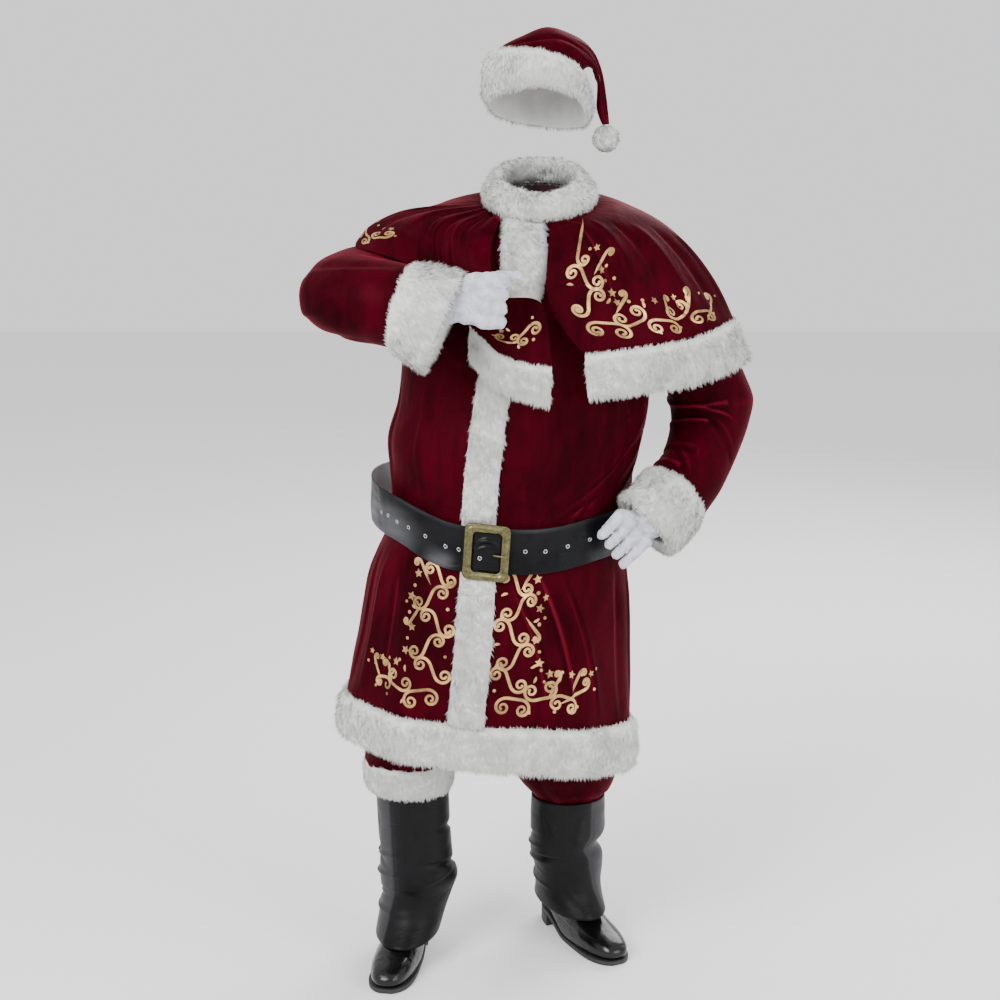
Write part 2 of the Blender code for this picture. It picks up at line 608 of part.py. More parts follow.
def make_gloves():
    """The right hand closed on the capelet's edge, and the left hand on the hip."""
    fist = [
        ((-0.220, -0.264, 1.424), (-0.150, -0.290, 1.444), 0.028, 0.032, ROUND),
        ((-0.136, -0.300, 1.448), (-0.108, -0.302, 1.452), 0.033, 0.036, (0.9, 0.62, 1.22)),
    ]
    for step in range(4):
        level = 1.491 - 0.0250 * step
        knuckle = (-0.098 - 0.002 * step, -0.316 + 0.002 * step, level)
        middle = (-0.064 - 0.003 * step, -0.308 + 0.002 * step, level - 0.003)
        tip = (-0.078 - 0.003 * step, -0.280 + 0.002 * step, level - 0.003)
        fist.append(((-0.122, -0.304, 1.453 + (level - 1.453) * 0.70), knuckle, 0.0155, 0.0155, ROUND))
        fist.append((knuckle, middle, 0.0150, 0.0130, ROUND))
        fist.append((middle, tip, 0.0130, 0.0120, ROUND))
    fist.append(((-0.112, -0.288, 1.480), (-0.078, -0.280, 1.494), 0.0145, 0.0135, ROUND))
    fist.append(((-0.078, -0.280, 1.494), (-0.045, -0.284, 1.498), 0.0130, 0.0110, ROUND))
    make_glove("glove_right", fist, (-0.198, -0.272, 1.431), (-1.0, 0.35, -0.25), 0.0045)

    hip = [
        ((0.246, -0.142, 1.031), (0.212, -0.157, 1.010), 0.0350, 0.034, ROUND),
        ((0.205, -0.152, 1.005), (0.180, -0.168, 1.002), 0.031, 0.028, (0.95, 0.70, 1.15)),
    ]
    for step in range(4):
        knuckle = (0.153 + 0.017 * step, -0.190 + 0.004 * step, 1.030 - 0.0185 * step)
        tip = (0.119 + 0.014 * step, -0.189 + 0.006 * step, 0.991 - 0.0205 * step)
        hip.append(((0.188, -0.166, 1.014 - 0.006 * step), knuckle, 0.016, 0.0145, ROUND))
        hip.append((knuckle, tip, 0.0138, 0.0115, ROUND))
    make_glove("glove_left", hip, (0.230, -0.140, 1.020), (0.75, 0.45, 0.45), 0.0045)


# ---------------------------------------------------------------- the capelet and collar


def collar_edge(direction, out=0.0):
    """The capelet's neck edge: lower in front, higher behind."""
    direction = np.asarray(direction, float)
    x = (0.100 + out) * np.sin(direction)
    y = -(0.094 + out) * np.cos(direction) + 0.004
    return np.stack([x, y, 1.604 - 0.029 * np.cos(direction)], axis=-1)


def cape_thread(thread, stops):
    """A thread of the capelet, from the collar over the shoulder down to the hem."""
    row = smooth(CAPE, thread)
    start = collar_edge(np.radians(row[0]))
    t = np.asarray(stops)[:, None]
    return (1 - t) ** 2 * start + 2 * t * (1 - t) * row[1:4] + t**2 * row[4:7]


def cape_grid(threads, stops):
    """Threads side by side, pressed into soft folds that deepen towards the hem."""
    grid = np.array([cape_thread(d, stops) for d in threads]).transpose(1, 0, 2)
    away = normals(grid)
    ends = np.clip((CAPE_LAST - np.asarray(threads)) / 12.0, 0.0, 1.0)
    depth = np.clip(stops, 0.0, 1.0) ** 1.3 * 0.0055
    wave = np.cos(np.radians(threads) * GATHERS + 0.8 * np.sin(np.radians(threads) * 3)) * ends
    return grid + away * (depth[:, None] * wave[None, :])[..., None]


FUR_FROM = 0.865             # how far down a thread the fur of the hem starts
FUR_LAST = 252.0             # past this thread the hem is turned under along the raised arm
FRONT_EDGE_CURVES = 0.55     # how far down the left front's edge starts to curve back
FRONT_CORNER = 14.0          # the thread that the left front's lower corner ends on


def cape_hem_fur(name, grid, pile=PILE):
    """The fur band that goes on from the edge of the velvet."""
    away = normals(grid)
    inner = grid - away * VELVET
    outer = inner + away * (pile * crown(len(grid), grid.shape[1], False, low=0.4))[..., None]
    pelt(name, inner, outer)


def left_front_grid(stops, columns):
    """The left front: near its hem the front edge curves back to the corner."""
    rows = []
    for row, stop in enumerate(stops):
        share = np.clip((stop - FRONT_EDGE_CURVES) / (FUR_FROM - FRONT_EDGE_CURVES), 0.0, 1.0) ** 2
        threads = np.linspace(FRONT_CORNER * share, 89.9, columns)
        rows.append(cape_grid(threads, stops)[row])
    return np.array(rows)


def make_cape_left_and_back():
    """The left front and the back, each velvet down to its fur."""
    velvet = np.linspace(0.0, FUR_FROM, 9)
    fur = np.linspace(FUR_FROM + 0.002, 1.0, 4)
    cloth("cape_front_left", left_front_grid(velvet, 15), VELVET, "velvet")
    cape_hem_fur("cape_front_left_fur", cape_grid(np.linspace(FRONT_CORNER, 89.9, 14), fur), PILE * 0.8)
    cloth("cape_back", cape_grid(np.linspace(90.1, CAPE_LAST - 0.2, 22), velvet), VELVET, "velvet")
    cape_hem_fur("cape_back_fur", cape_grid(np.linspace(90.1, FUR_LAST, 20), fur), PILE * 0.8)


def make_cape_held():
    """The front that the right hand holds, with fur on the corner that flares below the fist."""
    last = cape_thread(CAPE_LAST, np.linspace(0.0, FUR_FROM, 5))
    threads = through(np.concatenate([HELD_FRONT, last[None]]), 21)
    grid = np.array([through(thread, 10) for thread in threads]).transpose(1, 0, 2)
    away = normals(grid)
    across = np.linspace(0.0, 1.0, grid.shape[1])
    down = np.linspace(0.0, 1.0, grid.shape[0])
    depth = 0.0045 * np.sin(np.pi * np.clip(down * 1.15, 0, 1))[:, None] * np.sin(np.pi * across)[None, :]
    grid = grid + away * (depth * np.cos(2 * np.pi * 6.5 * across)[None, :])[..., None]
    cloth("cape_front_right", grid, VELVET, "velvet")
    corner = grid[-1, : int(round(CORNER_THREADS * 2.5)) + 1]
    drop = np.array([-0.004, -0.004, -CAPE_HEM_DEPTH])
    start = corner + np.array([0.0, 0.0, -0.0021])
    depth = np.linspace(0.86, 0.72, len(corner))[:, None]
    hem = np.array([start + t * drop * depth for t in np.linspace(0.0, 1.0, 4)])
    cape_hem_fur("cape_front_right_fur", hem, PILE * 0.8)


COLLAR_HALF_HEIGHT = 0.029
COLLAR_HALF_THICK = 0.0185
COLLAR_LEAN = 0.012          # the roll leans in towards the neck by this much at its top


def make_collar():
    """The thick rolled fur collar over the capelet's neck seam."""
    around = np.radians(np.arange(0, 360, 15.0))
    rows = []
    for angle in np.radians(np.arange(0, 360, 45.0) + 22.5):
        out = COLLAR_HALF_THICK * math.cos(angle) - COLLAR_LEAN * math.sin(angle)
        x = (0.0900 + out) * np.sin(around)
        y = 0.004 - (0.0860 + out) * np.cos(around)
        z = 1.6315 - 0.029 * np.cos(around) + COLLAR_HALF_HEIGHT * math.sin(angle)
        rows.append(np.stack([x, y, z], axis=-1))
    add_loop("collar_fur", np.array(rows), "fur")


def add_loop(name, grid, colour):
    """A closed body whose section and whose run both come back to where they start."""
    rows, columns = grid.shape[:2]
    faces = []
    for r in range(rows):
        s = (r + 1) % rows
        for c in range(columns):
            d = (c + 1) % columns
            faces.append([r * columns + c, r * columns + d, s * columns + d, s * columns + c])
    return face_out(add_mesh(name, grid.reshape(-1, 3), faces, colour))


def face_out(item):
    """Turn every face of a closed piece outward."""
    mesh = bmesh.new()
    mesh.from_mesh(item.data)
    bmesh.ops.recalc_face_normals(mesh, faces=mesh.faces)
    mesh.to_mesh(item.data)
    mesh.free()
    return item


# ---------------------------------------------------------------- belt and buckle

BELT_HALF = 0.044
BELT_WALL = 0.003
BELT_LIFT = 0.0062
BELT_HITCH = 0.025           # how much higher the belt sits at the right hip


def ramp(value, low, high):
    """Zero below `low`, one above `high`, and a smooth step between them."""
    share = np.clip((value - low) / (high - low), 0.0, 1.0)
    return share * share * (3 - 2 * share)


def belt_middle(theta):
    """Height of the belt's middle line: it sags in front, rides up behind and is hitched up at the right hip."""
    degrees = np.degrees(theta)
    hitch = BELT_HITCH * ramp(-degrees, 12.0, 58.0) * ramp(180.0 + degrees, 15.0, 85.0)
    return 0.962 + 0.028 * (1 - np.cos(theta + 0.2)) - 0.012 * np.sin(theta) + hitch


def belt_lift(theta):
    """How far the belt stands off the coat: it hangs away at the wearer's right side."""
    away = np.exp(-((np.degrees(theta) + 96.0) / 26.0) ** 2)
    return BELT_LIFT + 0.024 * away


def make_belt():
    """A closed strap round the coat, standing clear of the widest coat ring that it passes."""
    theta = np.radians(np.arange(-180, 180, 9.0))
    middle = np.array([-0.062, 0.0, 0.0])
    waist = coat(theta, 0.965, belt_lift(theta)) - middle
    inner = []
    for level in (1.0, 0.0, -1.0):
        height = belt_middle(theta) + level * BELT_HALF
        here = coat(theta, height, belt_lift(theta)) - middle
        point = np.maximum(np.abs(here), np.abs(waist)) * np.sign(here) + middle
        point[:, 2] = height
        inner.append(point)
    inner = np.array(inner)
    away = normals(inner, closed=True)
    pelt("belt_strap", inner, inner + away * BELT_WALL, "leather", closed=True)


BUCKLE = {"half_width": 0.044, "half_height": 0.055, "bar": 0.016,
          "thick": 0.006, "tilt": 4.0}


def buckle_frame():
    """The buckle's place: middle, its right, its up and its outward direction."""
    turn = opening_angle(0.965)
    theta = turn + 0.08
    point = coat(theta, 0.962, BELT_LIFT + BELT_WALL + 0.0058)
    out = np.array([math.sin(theta), -math.cos(theta), 0.0])
    right = np.array([math.cos(theta), math.sin(theta), 0.0])
    tilt = math.radians(BUCKLE["tilt"])
    up = np.array([0.0, 0.0, 1.0])
    across = right * math.cos(tilt) - up * math.sin(tilt)
    rise = up * math.cos(tilt) + right * math.sin(tilt)
    return point, across, rise, out


def make_buckle():
    """A rounded rectangular frame with a raised ridge round its bar."""
    middle, across, rise, out = buckle_frame()
    bar, half_width, half_height = BUCKLE["bar"], BUCKLE["half_width"], BUCKLE["half_height"]
    corner = 0.012
    outline = []
    for sign_x, sign_y, first in ((1, 1, 0), (-1, 1, 90), (-1, -1, 180), (1, -1, 270)):
        for step in range(4):
            angle = math.radians(first + step * 30)
            outline.append((sign_x * (half_width - corner) + corner * math.cos(angle),
                            sign_y * (half_height - corner) + corner * math.sin(angle)))
    outline = np.array(outline)
    shrink = np.array([1 - bar / half_width, 1 - bar / half_height])
    section = ((0.0, 0.0), (0.10, 0.75), (0.5, 1.0), (0.90, 0.75), (1.0, 0.0))
    grid = []
    for share, lift in section:
        flat = outline * (1 + share * (shrink - 1))
        grid.append(middle + flat[:, :1] * across + flat[:, 1:] * rise + out * lift * BUCKLE["thick"])
    add_loop("buckle_frame", np.array(grid), "brass")


# ---------------------------------------------------------------- hat


def make_hat():
    """Fur brim, velvet bag that falls to the wearer's left, and the pompom on its end."""
    degrees = np.arange(0, 360, 12.0)
    angle = np.radians(degrees)
    low, high = np.moveaxis(smooth(BRIM, degrees), -1, 0)
    rows_in, rows_out = [], []
    for t in np.linspace(0.0, 1.0, 5):
        full = 0.35 + 0.65 * math.sin(math.pi * t) ** 0.5
        flare = 0.004 * (1 - t)
        for rows, out in ((rows_in, 0.0), (rows_out, BRIM_PILE * full)):
            x = BRIM_MIDDLE[0] + (BRIM_HALF[0] + flare + out) * np.sin(angle)
            y = BRIM_MIDDLE[1] - (BRIM_HALF[1] + flare + out) * np.cos(angle)
            rows.append(np.stack([x, y, low + t * (high - low)], axis=-1))
    pelt("hat_brim_fur", np.array(rows_in), np.array(rows_out), closed=True)

    turn = np.radians(np.arange(0, 360, 24.0))
    rows = []
    for top_x, top_z, low_x, low_z, y, half_depth in through(HAT_BAG, 15):
        middle = np.array([(top_x + low_x) / 2, y, (top_z + low_z) / 2])
        reach = np.array([(top_x - low_x) / 2, 0.0, (top_z - low_z) / 2])
        depth = np.array([0.0, -half_depth, 0.0])
        rows.append(middle + np.cos(turn)[:, None] * reach + np.sin(turn)[:, None] * depth)
    cloth("hat_bag", np.array(rows), VELVET, "velvet", closed=True)

    ball = bmesh.new()
    bmesh.ops.create_icosphere(ball, subdivisions=3, radius=POMPOM_RADIUS)
    for number, vertex in enumerate(ball.verts):
        vertex.co *= 1.0 + (0.035 if number % 3 == 0 else -0.02)
        vertex.co += Vector(POMPOM)
    data = bpy.data.meshes.new("hat_pompom")
    ball.to_mesh(data)
    ball.free()
    item = bpy.data.objects.new("hat_pompom", data)
    SUIT.objects.link(item)
    item.location = (0.0, 0.0, -NECK_HEIGHT)
    paint(item, "fur")


# ---------------------------------------------------------------- trousers


def ellipse(theta, middle_x, middle_y, half_width, half_depth):
    """A point of an upright ring."""
    return np.stack([middle_x + half_width * np.sin(theta), middle_y - half_depth * np.cos(theta)], axis=-1)


def trouser_panel(name, side, front, leg, bottom, rows, columns=8):
    """Half a trouser leg, from the waist past the crotch to the cuff."""
    share = np.linspace(0.0, 1.0, columns)
    quarter = math.radians(90.0)
    grid = []
    for height in np.linspace(1.000, bottom, rows):
        hip_height = max(height, HIPS[-1, 0])
        middle, half_width, half_depth = smooth(HIPS, hip_height)
        gap = 2 * SEAM / half_width
        start = side * (quarter - gap) if front else side * (quarter + gap)
        centre = 0.0 + side * gap if front else side * (2 * quarter - gap)
        hips = ellipse(start + share * (centre - start), middle, 0.0, half_width, half_depth)
        leg_height = min(height, leg[0, 0])
        leg_x, leg_y, leg_width, leg_depth = smooth(leg, leg_height)
        gap = 2 * SEAM / leg_width
        end = side * (-quarter + gap) if front else side * (3 * quarter - gap)
        start = side * (quarter - gap) if front else side * (quarter + gap)
        round_leg = ellipse(start + share * (end - start), leg_x, leg_y, leg_width, leg_depth)
        mix = np.clip((0.86 - height) / (0.86 - CROTCH), 0.0, 1.0)
        mix = mix * mix * (3 - 2 * mix)
        flat = hips * (1 - mix) + round_leg * mix
        grid.append(np.column_stack([flat, np.full(columns, height)]))
    cloth(name, np.array(grid), VELVET, "velvet")


def make_trousers():
    """Four leg panels, the waistband, and the fur cuff that shows below the right knee."""
    legs = (("right", -1, RIGHT_LEG, 0.488, 11), ("left", 1, LEFT_LEG, 0.350, 14))
    for label, side, leg, bottom, rows in legs:
        trouser_panel("trouser_front_" + label, side, True, leg, bottom, rows)
        trouser_panel("trouser_back_" + label, side, False, leg, bottom, rows)
    around = np.radians(np.arange(0, 360, 15.0))
    band = []
    for height in (1.0001 + SEAM, 1.034):
        middle, half_width, half_depth = smooth(HIPS, height)
        flat = ellipse(around, middle, 0.0, half_width, half_depth)
        band.append(np.column_stack([flat, np.full(len(around), height)]))
    cloth("trouser_waistband", np.array(band), 0.003, "velvet", closed=True)
    rows = smooth(KNEE_CUFF, np.linspace(KNEE_CUFF[0, 0], KNEE_CUFF[-1, 0], 5))
    heights = np.linspace(KNEE_CUFF[0, 0], KNEE_CUFF[-1, 0], 5)
    around = np.radians(np.arange(0, 360, 20.0))
    inner = np.array([np.column_stack([ellipse(around, x, y, w - 0.0112, d - 0.0112), np.full(18, h)])
                      for h, (x, y, w, d) in zip(heights, rows)])
    outer = np.array([np.column_stack([ellipse(around, x, y, w, d), np.full(18, h)])
                      for h, (x, y, w, d) in zip(heights, rows)])
    fill = crown(5, 18, True, low=0.2)[..., None]
    pelt("trouser_cuff_fur_right", inner, inner + (outer - inner) * fill, closed=True)


# ---------------------------------------------------------------- boots


def make_shaft(name, table, front_drop, turn):
    """A boot top whose lower edge dips over the instep and turns with the foot."""
    around = np.radians(np.arange(0, 360, 20.0))
    rows = []
    for height in np.linspace(table[0, 0], table[-1, 0], 10):
        x, y, half_width, half_depth = smooth(table, height)
        share = np.clip((0.20 - height) / 0.10, 0.0, 1.0)
        angle = math.radians(turn) * share
        across, ahead = half_width * np.sin(around), half_depth * np.cos(around)
        flat_x = x + across * math.cos(angle) + ahead * math.sin(angle)
        flat_y = y + across * math.sin(angle) - ahead * math.cos(angle)
        dip = front_drop * share * ((1 + np.cos(around)) / 2) ** 2
        rows.append(np.stack([flat_x, flat_y, height - dip], axis=-1))
    cloth(name, np.array(rows), LEATHER, "leather", closed=True)


def sole_rise(along):
    """How high the sole's underside is above the floor: it rises on to the heel."""
    share = np.clip((0.150 - np.asarray(along, float)) / 0.080, 0.0, 1.0)
    return HEEL * share * share * (3 - 2 * share)


def shoe_point(side, along, across, up):
    """From the foot's own measures to the suit's."""
    heel_x, heel_y, turn = SHOE_SIDE[side]
    angle = math.radians(turn)
    x = heel_x + along * math.sin(angle) + across * math.cos(angle)
    y = heel_y - along * math.cos(angle) + across * math.sin(angle)
    return np.stack([x, y, FLOOR + up + 0.0 * along], axis=-1)


FOOT_STATIONS = 0.004 + 0.294 * (1 - np.cos(np.linspace(0.0, math.pi, SHOE_POINTS // 2 + 1))) / 2


def make_shoe(side):
    """Upper, sole and heel of one shoe."""
    around = np.radians(np.arange(SHOE_POINTS) * 360.0 / SHOE_POINTS)
    ahead = (1 + np.cos(around)) / 2
    rows = []
    for back, toe, half, up_back, up_toe in through(SHOE, 7):
        along = back + (toe - back) * ahead
        across = half * power(np.sin(around), 0.75) * (0.86 + 0.14 * np.cos(around))
        up = SOLE + 2 * SEAM + sole_rise(along) + up_back + (up_toe - up_back) * ahead
        rows.append(shoe_point(side, along, across, up))
    cloth("shoe_upper_" + side, np.array(rows), LEATHER, "leather", closed=True)
    ground = np.concatenate([[0.000], FOOT_STATIONS, [0.304]])
    make_plate("shoe_sole_" + side, side, ground, sole_rise, lambda a: sole_rise(a) + SOLE)
    make_plate("shoe_heel_" + side, side, ground[:5], lambda a: 0.0 * a, lambda a: sole_rise(a) - 2 * SEAM)


def make_plate(name, side, stations, low, high):
    """A flat part of the shoe's underside between two heights; round at the heel and the toe."""
    share = np.clip((stations - 0.152) / 0.154, -1.0, 1.0)
    width = 0.053 * (1 - np.abs(share) ** 4) ** 0.5 * (0.86 + 0.14 * share)
    across = np.linspace(-1.0, 1.0, 3)[None, :] * width[:, None]
    along = np.repeat(stations[:, None], 3, axis=1)
    pelt(name, shoe_point(side, along, across, low(along)), shoe_point(side, along, across, high(along)), "sole")


# ---------------------------------------------------------------- build

for old in list(bpy.data.objects):
    bpy.data.objects.remove(old, do_unlink=True)
SUIT = bpy.data.collections.new("santa_suit")
CUTTERS = bpy.data.collections.new("cutters")
bpy.context.scene.collection.children.link(SUIT)
bpy.context.scene.collection.children.link(CUTTERS)

make_coat()
make_placket()
make_hem()
make_sleeve("sleeve_right", -1, RIGHT_ARM, right_arm)
make_sleeve("sleeve_left", 1, LEFT_ARM, left_arm)
make_cuff("cuff_fur_right", RIGHT_ARM, right_arm)
make_cuff("cuff_fur_left", LEFT_ARM, left_arm)
make_gloves()
make_cape_left_and_back()
make_cape_held()
make_collar()
make_belt()
make_buckle()
make_hat()
make_trousers()
make_shaft("boot_top_right", RIGHT_SHAFT, 0.004, -6.0)
make_shaft("boot_top_left", LEFT_SHAFT, 0.004, 22.0)
make_shoe("right")
make_shoe("left")
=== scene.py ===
"""Santa suit in the form it has when it is worn: the velvet, fur, leather and metal over its solids.

Metres, +Z up; the wearer faces -Y, so the wearer's right is -X. The tables of rings and threads are in
millimetres. All heights are above the floor, and place() brings them down to the middle of the neck opening,
which is the origin.
"""
import math

import bmesh
import bpy
import numpy as np
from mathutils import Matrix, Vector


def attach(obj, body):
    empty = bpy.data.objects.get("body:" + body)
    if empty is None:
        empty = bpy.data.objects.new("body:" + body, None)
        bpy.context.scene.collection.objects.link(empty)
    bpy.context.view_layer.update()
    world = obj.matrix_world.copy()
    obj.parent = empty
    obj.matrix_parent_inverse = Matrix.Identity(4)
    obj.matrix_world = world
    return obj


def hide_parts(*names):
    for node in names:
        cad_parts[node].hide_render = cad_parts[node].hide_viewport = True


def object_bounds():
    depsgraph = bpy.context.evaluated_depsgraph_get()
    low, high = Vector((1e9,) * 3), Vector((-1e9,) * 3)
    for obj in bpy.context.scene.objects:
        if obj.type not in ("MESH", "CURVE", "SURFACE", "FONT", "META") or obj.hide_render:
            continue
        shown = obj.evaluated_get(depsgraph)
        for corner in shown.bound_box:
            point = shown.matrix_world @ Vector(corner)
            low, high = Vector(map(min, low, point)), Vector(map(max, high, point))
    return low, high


bl_info = {
    "name": "Santa suit",
    "version": (1, 0, 0),
    "blender": (4, 5, 0),
    "location": "3D View > Sidebar > Santa suit",
    "description": "Velvet coat, capelet, hat and trousers with fur, foil print, belt, gloves and boots",
    "category": "Object",
}

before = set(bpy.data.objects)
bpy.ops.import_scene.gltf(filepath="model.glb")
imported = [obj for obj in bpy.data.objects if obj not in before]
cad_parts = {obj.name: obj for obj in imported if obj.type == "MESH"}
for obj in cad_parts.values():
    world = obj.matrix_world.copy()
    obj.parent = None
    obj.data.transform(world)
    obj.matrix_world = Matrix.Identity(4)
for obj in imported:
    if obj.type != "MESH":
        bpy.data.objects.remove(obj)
SOLID_BOX = [list(corner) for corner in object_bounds()]

# ---------------------------------------------------------------- sizes shared with the solids
NECK_HEIGHT = 1.600
QUARTER = math.pi / 2
SEAM = 0.00045               # half the gap between two panels
VELVET = 0.0018              # wall of the velvet
LEATHER = 0.0022             # wall of the boot tops and the shoes
PILE = 0.019                 # how far full fur stands off its cloth
FLAT_PILE = 0.0035           # and where the belt presses it flat
CREST_FLAT = 6.0             # the bending, per metre, that a plain curve of the body has
CREST_BEND = 130.0           # and that at which the painted highlight on the velvet's folds, and the painted shade in their valleys, come on
CREASE_UNITS = (100, 100, 100, 100, 1000, 1000, 1000)  # per cent, then millimetres
WELD = 0.00005               # points closer than this are one
LOCK_WIDTH = 0.0009          # half the width of a lock of pile at its root
LOCK_ROOT = 0.28             # how deep a lock is rooted, as a share of its length
BLADE_ROUND = 160.0          # how far the two edges of a lock's root face apart, per metre
FRINGE_SHARE = 0.62          # how long the turned locks of a fringe are, to the others
FRINGE_REACH = 0.16          # the share of the fur's depth, from its edge, over which they turn


def millimetres(rows):
    """A table of lengths that is told in millimetres, in metres."""
    return np.array(rows, float) / 1000.0


# The coat as rings: height, middle across, half width, half depth.
COAT = millimetres([
    (1600, 0, 88, 80), (1588, 0, 122, 96), (1566, 0, 162, 110), (1528, -3, 203, 128), (1470, -10, 216, 146),
    (1400, -20, 226, 166), (1310, -26, 238, 184), (1216, -30, 246, 198), (1146, -46, 250, 206),
    (1086, -52, 241, 205), (1030, -55, 234, 200), (965, -62, 236, 200), (900, -75, 251, 206),
    (809, -82, 262, 213), (746, -87, 267, 218), (683, -93, 274, 223), (600, -100, 283, 228),
    (500, -104, 290, 232),
])
COAT_SQUARENESS = 0.90       # power of the sine and cosine; 1 is an ellipse
HEM_DROP_LEFT = 0.060        # the hem hangs this much lower at the wearer's left
HEM_RISE_RIGHT = 0.016       # and this much higher at the wearer's right
NECK_DROP = 0.030            # the neck is this much lower in front
HEM_TOP = 0.622              # where the fur of the hem starts
HEM_DEPTH = 0.094

# Middle of the front opening: height, place across.
OPENING = millimetres([
    (1600, -37), (1500, -38), (1436, -44), (1360, -66), (1281, -86), (1160, -104), (1063, -114),
    (885, -121), (766, -130), (625, -143), (500, -152),
])

# Armhole: middle and half its height, and how far round the body it reaches from the side.
ARMHOLE_HEIGHT = 1.420
ARMHOLE_HALF = 0.105
ARMHOLE_REACH = math.radians(34.0)

# The bent arm on the wearer's right, as rings: outer point x, y; inner point x, y; height; half height.
# The cuff goes on from the last ring of the sleeve.
RIGHT_ARM = millimetres([
    (-262, 55, -213, -94, 1466, 85), (-337, 10, -224, -114, 1460, 81), (-408, -55, -232, -130, 1454, 77),
    (-446, -138, -237, -146, 1450, 77), (-442, -222, -239.5, -157, 1446, 78),
    (-390, -288, -239, -166, 1443, 78), (-328, -316, -236.5, -171.5, 1440, 77.5),
    (-272, -330, -233.5, -177, 1434, 77.5), (-226, -346, -198, -187, 1422, 85),
    (-188, -353, -169, -196, 1408, 93),
])
# The arm with its hand on the hip, on the wearer's left: outer point x, height; inner point x, height;
# middle y; half depth.
LEFT_ARM = millimetres([
    (260, 1518, 213, 1345, 12, 84), (322, 1448, 232, 1300, 18, 84), (360, 1378, 247, 1262, 26, 84),
    (380, 1320, 254, 1236, 31, 83), (408, 1262, 258, 1212, 34, 82), (426, 1215, 261, 1190, 34, 80),
    (416, 1160, 262, 1164, 26, 77), (390, 1100, 254, 1136, -4, 72), (352, 1039, 237, 1111, -50, 67),
    (304, 990, 213, 1096, -102, 60), (277, 967, 193, 1074, -132, 57), (248, 948, 162, 1050, -148, 55),
])
ARMHOLE_CLEAR = {-1: 0.0030, 1: 0.0023}  # the sleeve starts this far off the coat, right and left
CUFF_RINGS = 3               # the last rings of each arm are its cuff's

# The capelet, as threads from the collar over the shoulder to the hem, counted round from its left front
# edge: thread, collar angle in degrees (0 in front, 90 on the wearer's left), the shoulder that it turns
# over (x, y, height), the hem (x, y, height).
CAPE = np.array([
    (0, 12, 12, -176, 1562, 0, -236, 1262), (14, 24, 66, -178, 1574, 88, -232, 1262),
    (34, 38, 140, -172, 1586, 186, -214, 1270), (54, 56, 222, -135, 1597, 290, -164, 1277),
    (74, 76, 282, -68, 1604, 368, -84, 1291), (90, 90, 302, 0, 1606, 405, -2, 1300),
    (108, 106, 280, 85, 1608, 394, 98, 1290), (132, 130, 200, 160, 1608, 292, 184, 1276),
    (156, 154, 90, 195, 1606, 140, 236, 1268), (180, 180, 0, 200, 1604, -20, 250, 1268),
    (204, 206, -95, 195, 1606, -160, 238, 1276), (226, 228, -190, 160, 1612, -275, 196, 1318),
    (248, 250, -262, 100, 1618, -354, 120, 1400), (262, 263, -268, 40, 1608, -372, 30, 1490),
    (270, 270, -256, -12, 1602, -364, -60, 1535),
]) / (1, 1, 1000, 1000, 1000, 1000, 1000, 1000)
CAPE_LAST = 270.0            # the thread where the back meets the held front
CAPE_HEM_DEPTH = 0.080
GATHERS = 9                  # soft folds over each front of the capelet

# The front of the capelet that the right hand holds: threads from the collar down, each with x, y and
# height at five stops.
HELD_FRONT = millimetres([
    [(-79, -88, 1577), (-92, -150, 1520), (-78, -208, 1452), (0, -236, 1438), (20, -250, 1324)],
    [(-88, -78, 1582), (-116, -148, 1529), (-104, -198, 1440), (-56, -226, 1405), (-20, -243, 1327)],
    [(-94, -64, 1579), (-140, -142, 1541), (-132, -180, 1432), (-96, -204, 1394), (-70, -226, 1340)],
    [(-98, -48, 1586), (-164, -130, 1552), (-160, -160, 1440), (-140, -178, 1404), (-116, -200, 1376)],
    [(-100, -34, 1591), (-184, -114, 1566), (-194, -146, 1510), (-196, -152, 1478), (-194, -156, 1446)],
    [(-101, -22, 1594.8), (-190, -94, 1580), (-220, -134, 1556), (-232, -162, 1538), (-238, -184, 1510)],
    [(-101, -12, 1597.8), (-198, -68, 1590), (-254, -112, 1573), (-286, -142, 1555), (-308, -168, 1529)],
    [(-101, -4, 1600.8), (-200, -38, 1594), (-272, -66, 1585), (-322, -92, 1561), (-346, -122, 1533)],
])
CORNER_THREADS = 9           # of 21 threads, the fur hangs from these first ones only

# Hat. Round the head: direction (0 in front, 90 on the wearer's left), then the heights of the brim's lower
# and upper edge.
BRIM = np.array([
    (0, 1828, 1892), (45, 1806, 1868), (90, 1756, 1822), (135, 1738, 1816), (180, 1742, 1830),
    (225, 1758, 1858), (270, 1786, 1880), (315, 1812, 1893), (360, 1828, 1892),
]) / (1, 1000, 1000)
BRIM_MIDDLE = (-0.0035, 0.004)
BRIM_HALF = (0.0885, 0.099)  # half width and half depth inside the brim
BRIM_PILE = 0.018
# The bag of the hat, as rings: upper point x, height; lower point x, height; middle y; half depth.
HAT_BAG = millimetres([
    (-90.8, 1856, 83.8, 1806, 4, 97.7), (-84.5, 1882, 80, 1824, 4, 90), (-70, 1897, 80, 1846, 5, 82),
    (-35, 1914, 90, 1856, 7, 74), (12, 1931, 98, 1854, 10, 63), (56, 1920, 104, 1848, 13, 50),
    (92, 1898, 108, 1836, 16, 38), (111, 1866, 110, 1822, 18, 28), (122, 1830, 109.5, 1802, 20, 22),
    (129, 1789, 109, 1780, 20, 17), (132.5, 1766, 114, 1762, 20, 12), (134, 1749, 120, 1748.5, 20, 8),
])
POMPOM = (0.1275, 0.020, 1.7218)
POMPOM_RADIUS = 0.0265
POMPOM_CORE = 0.006

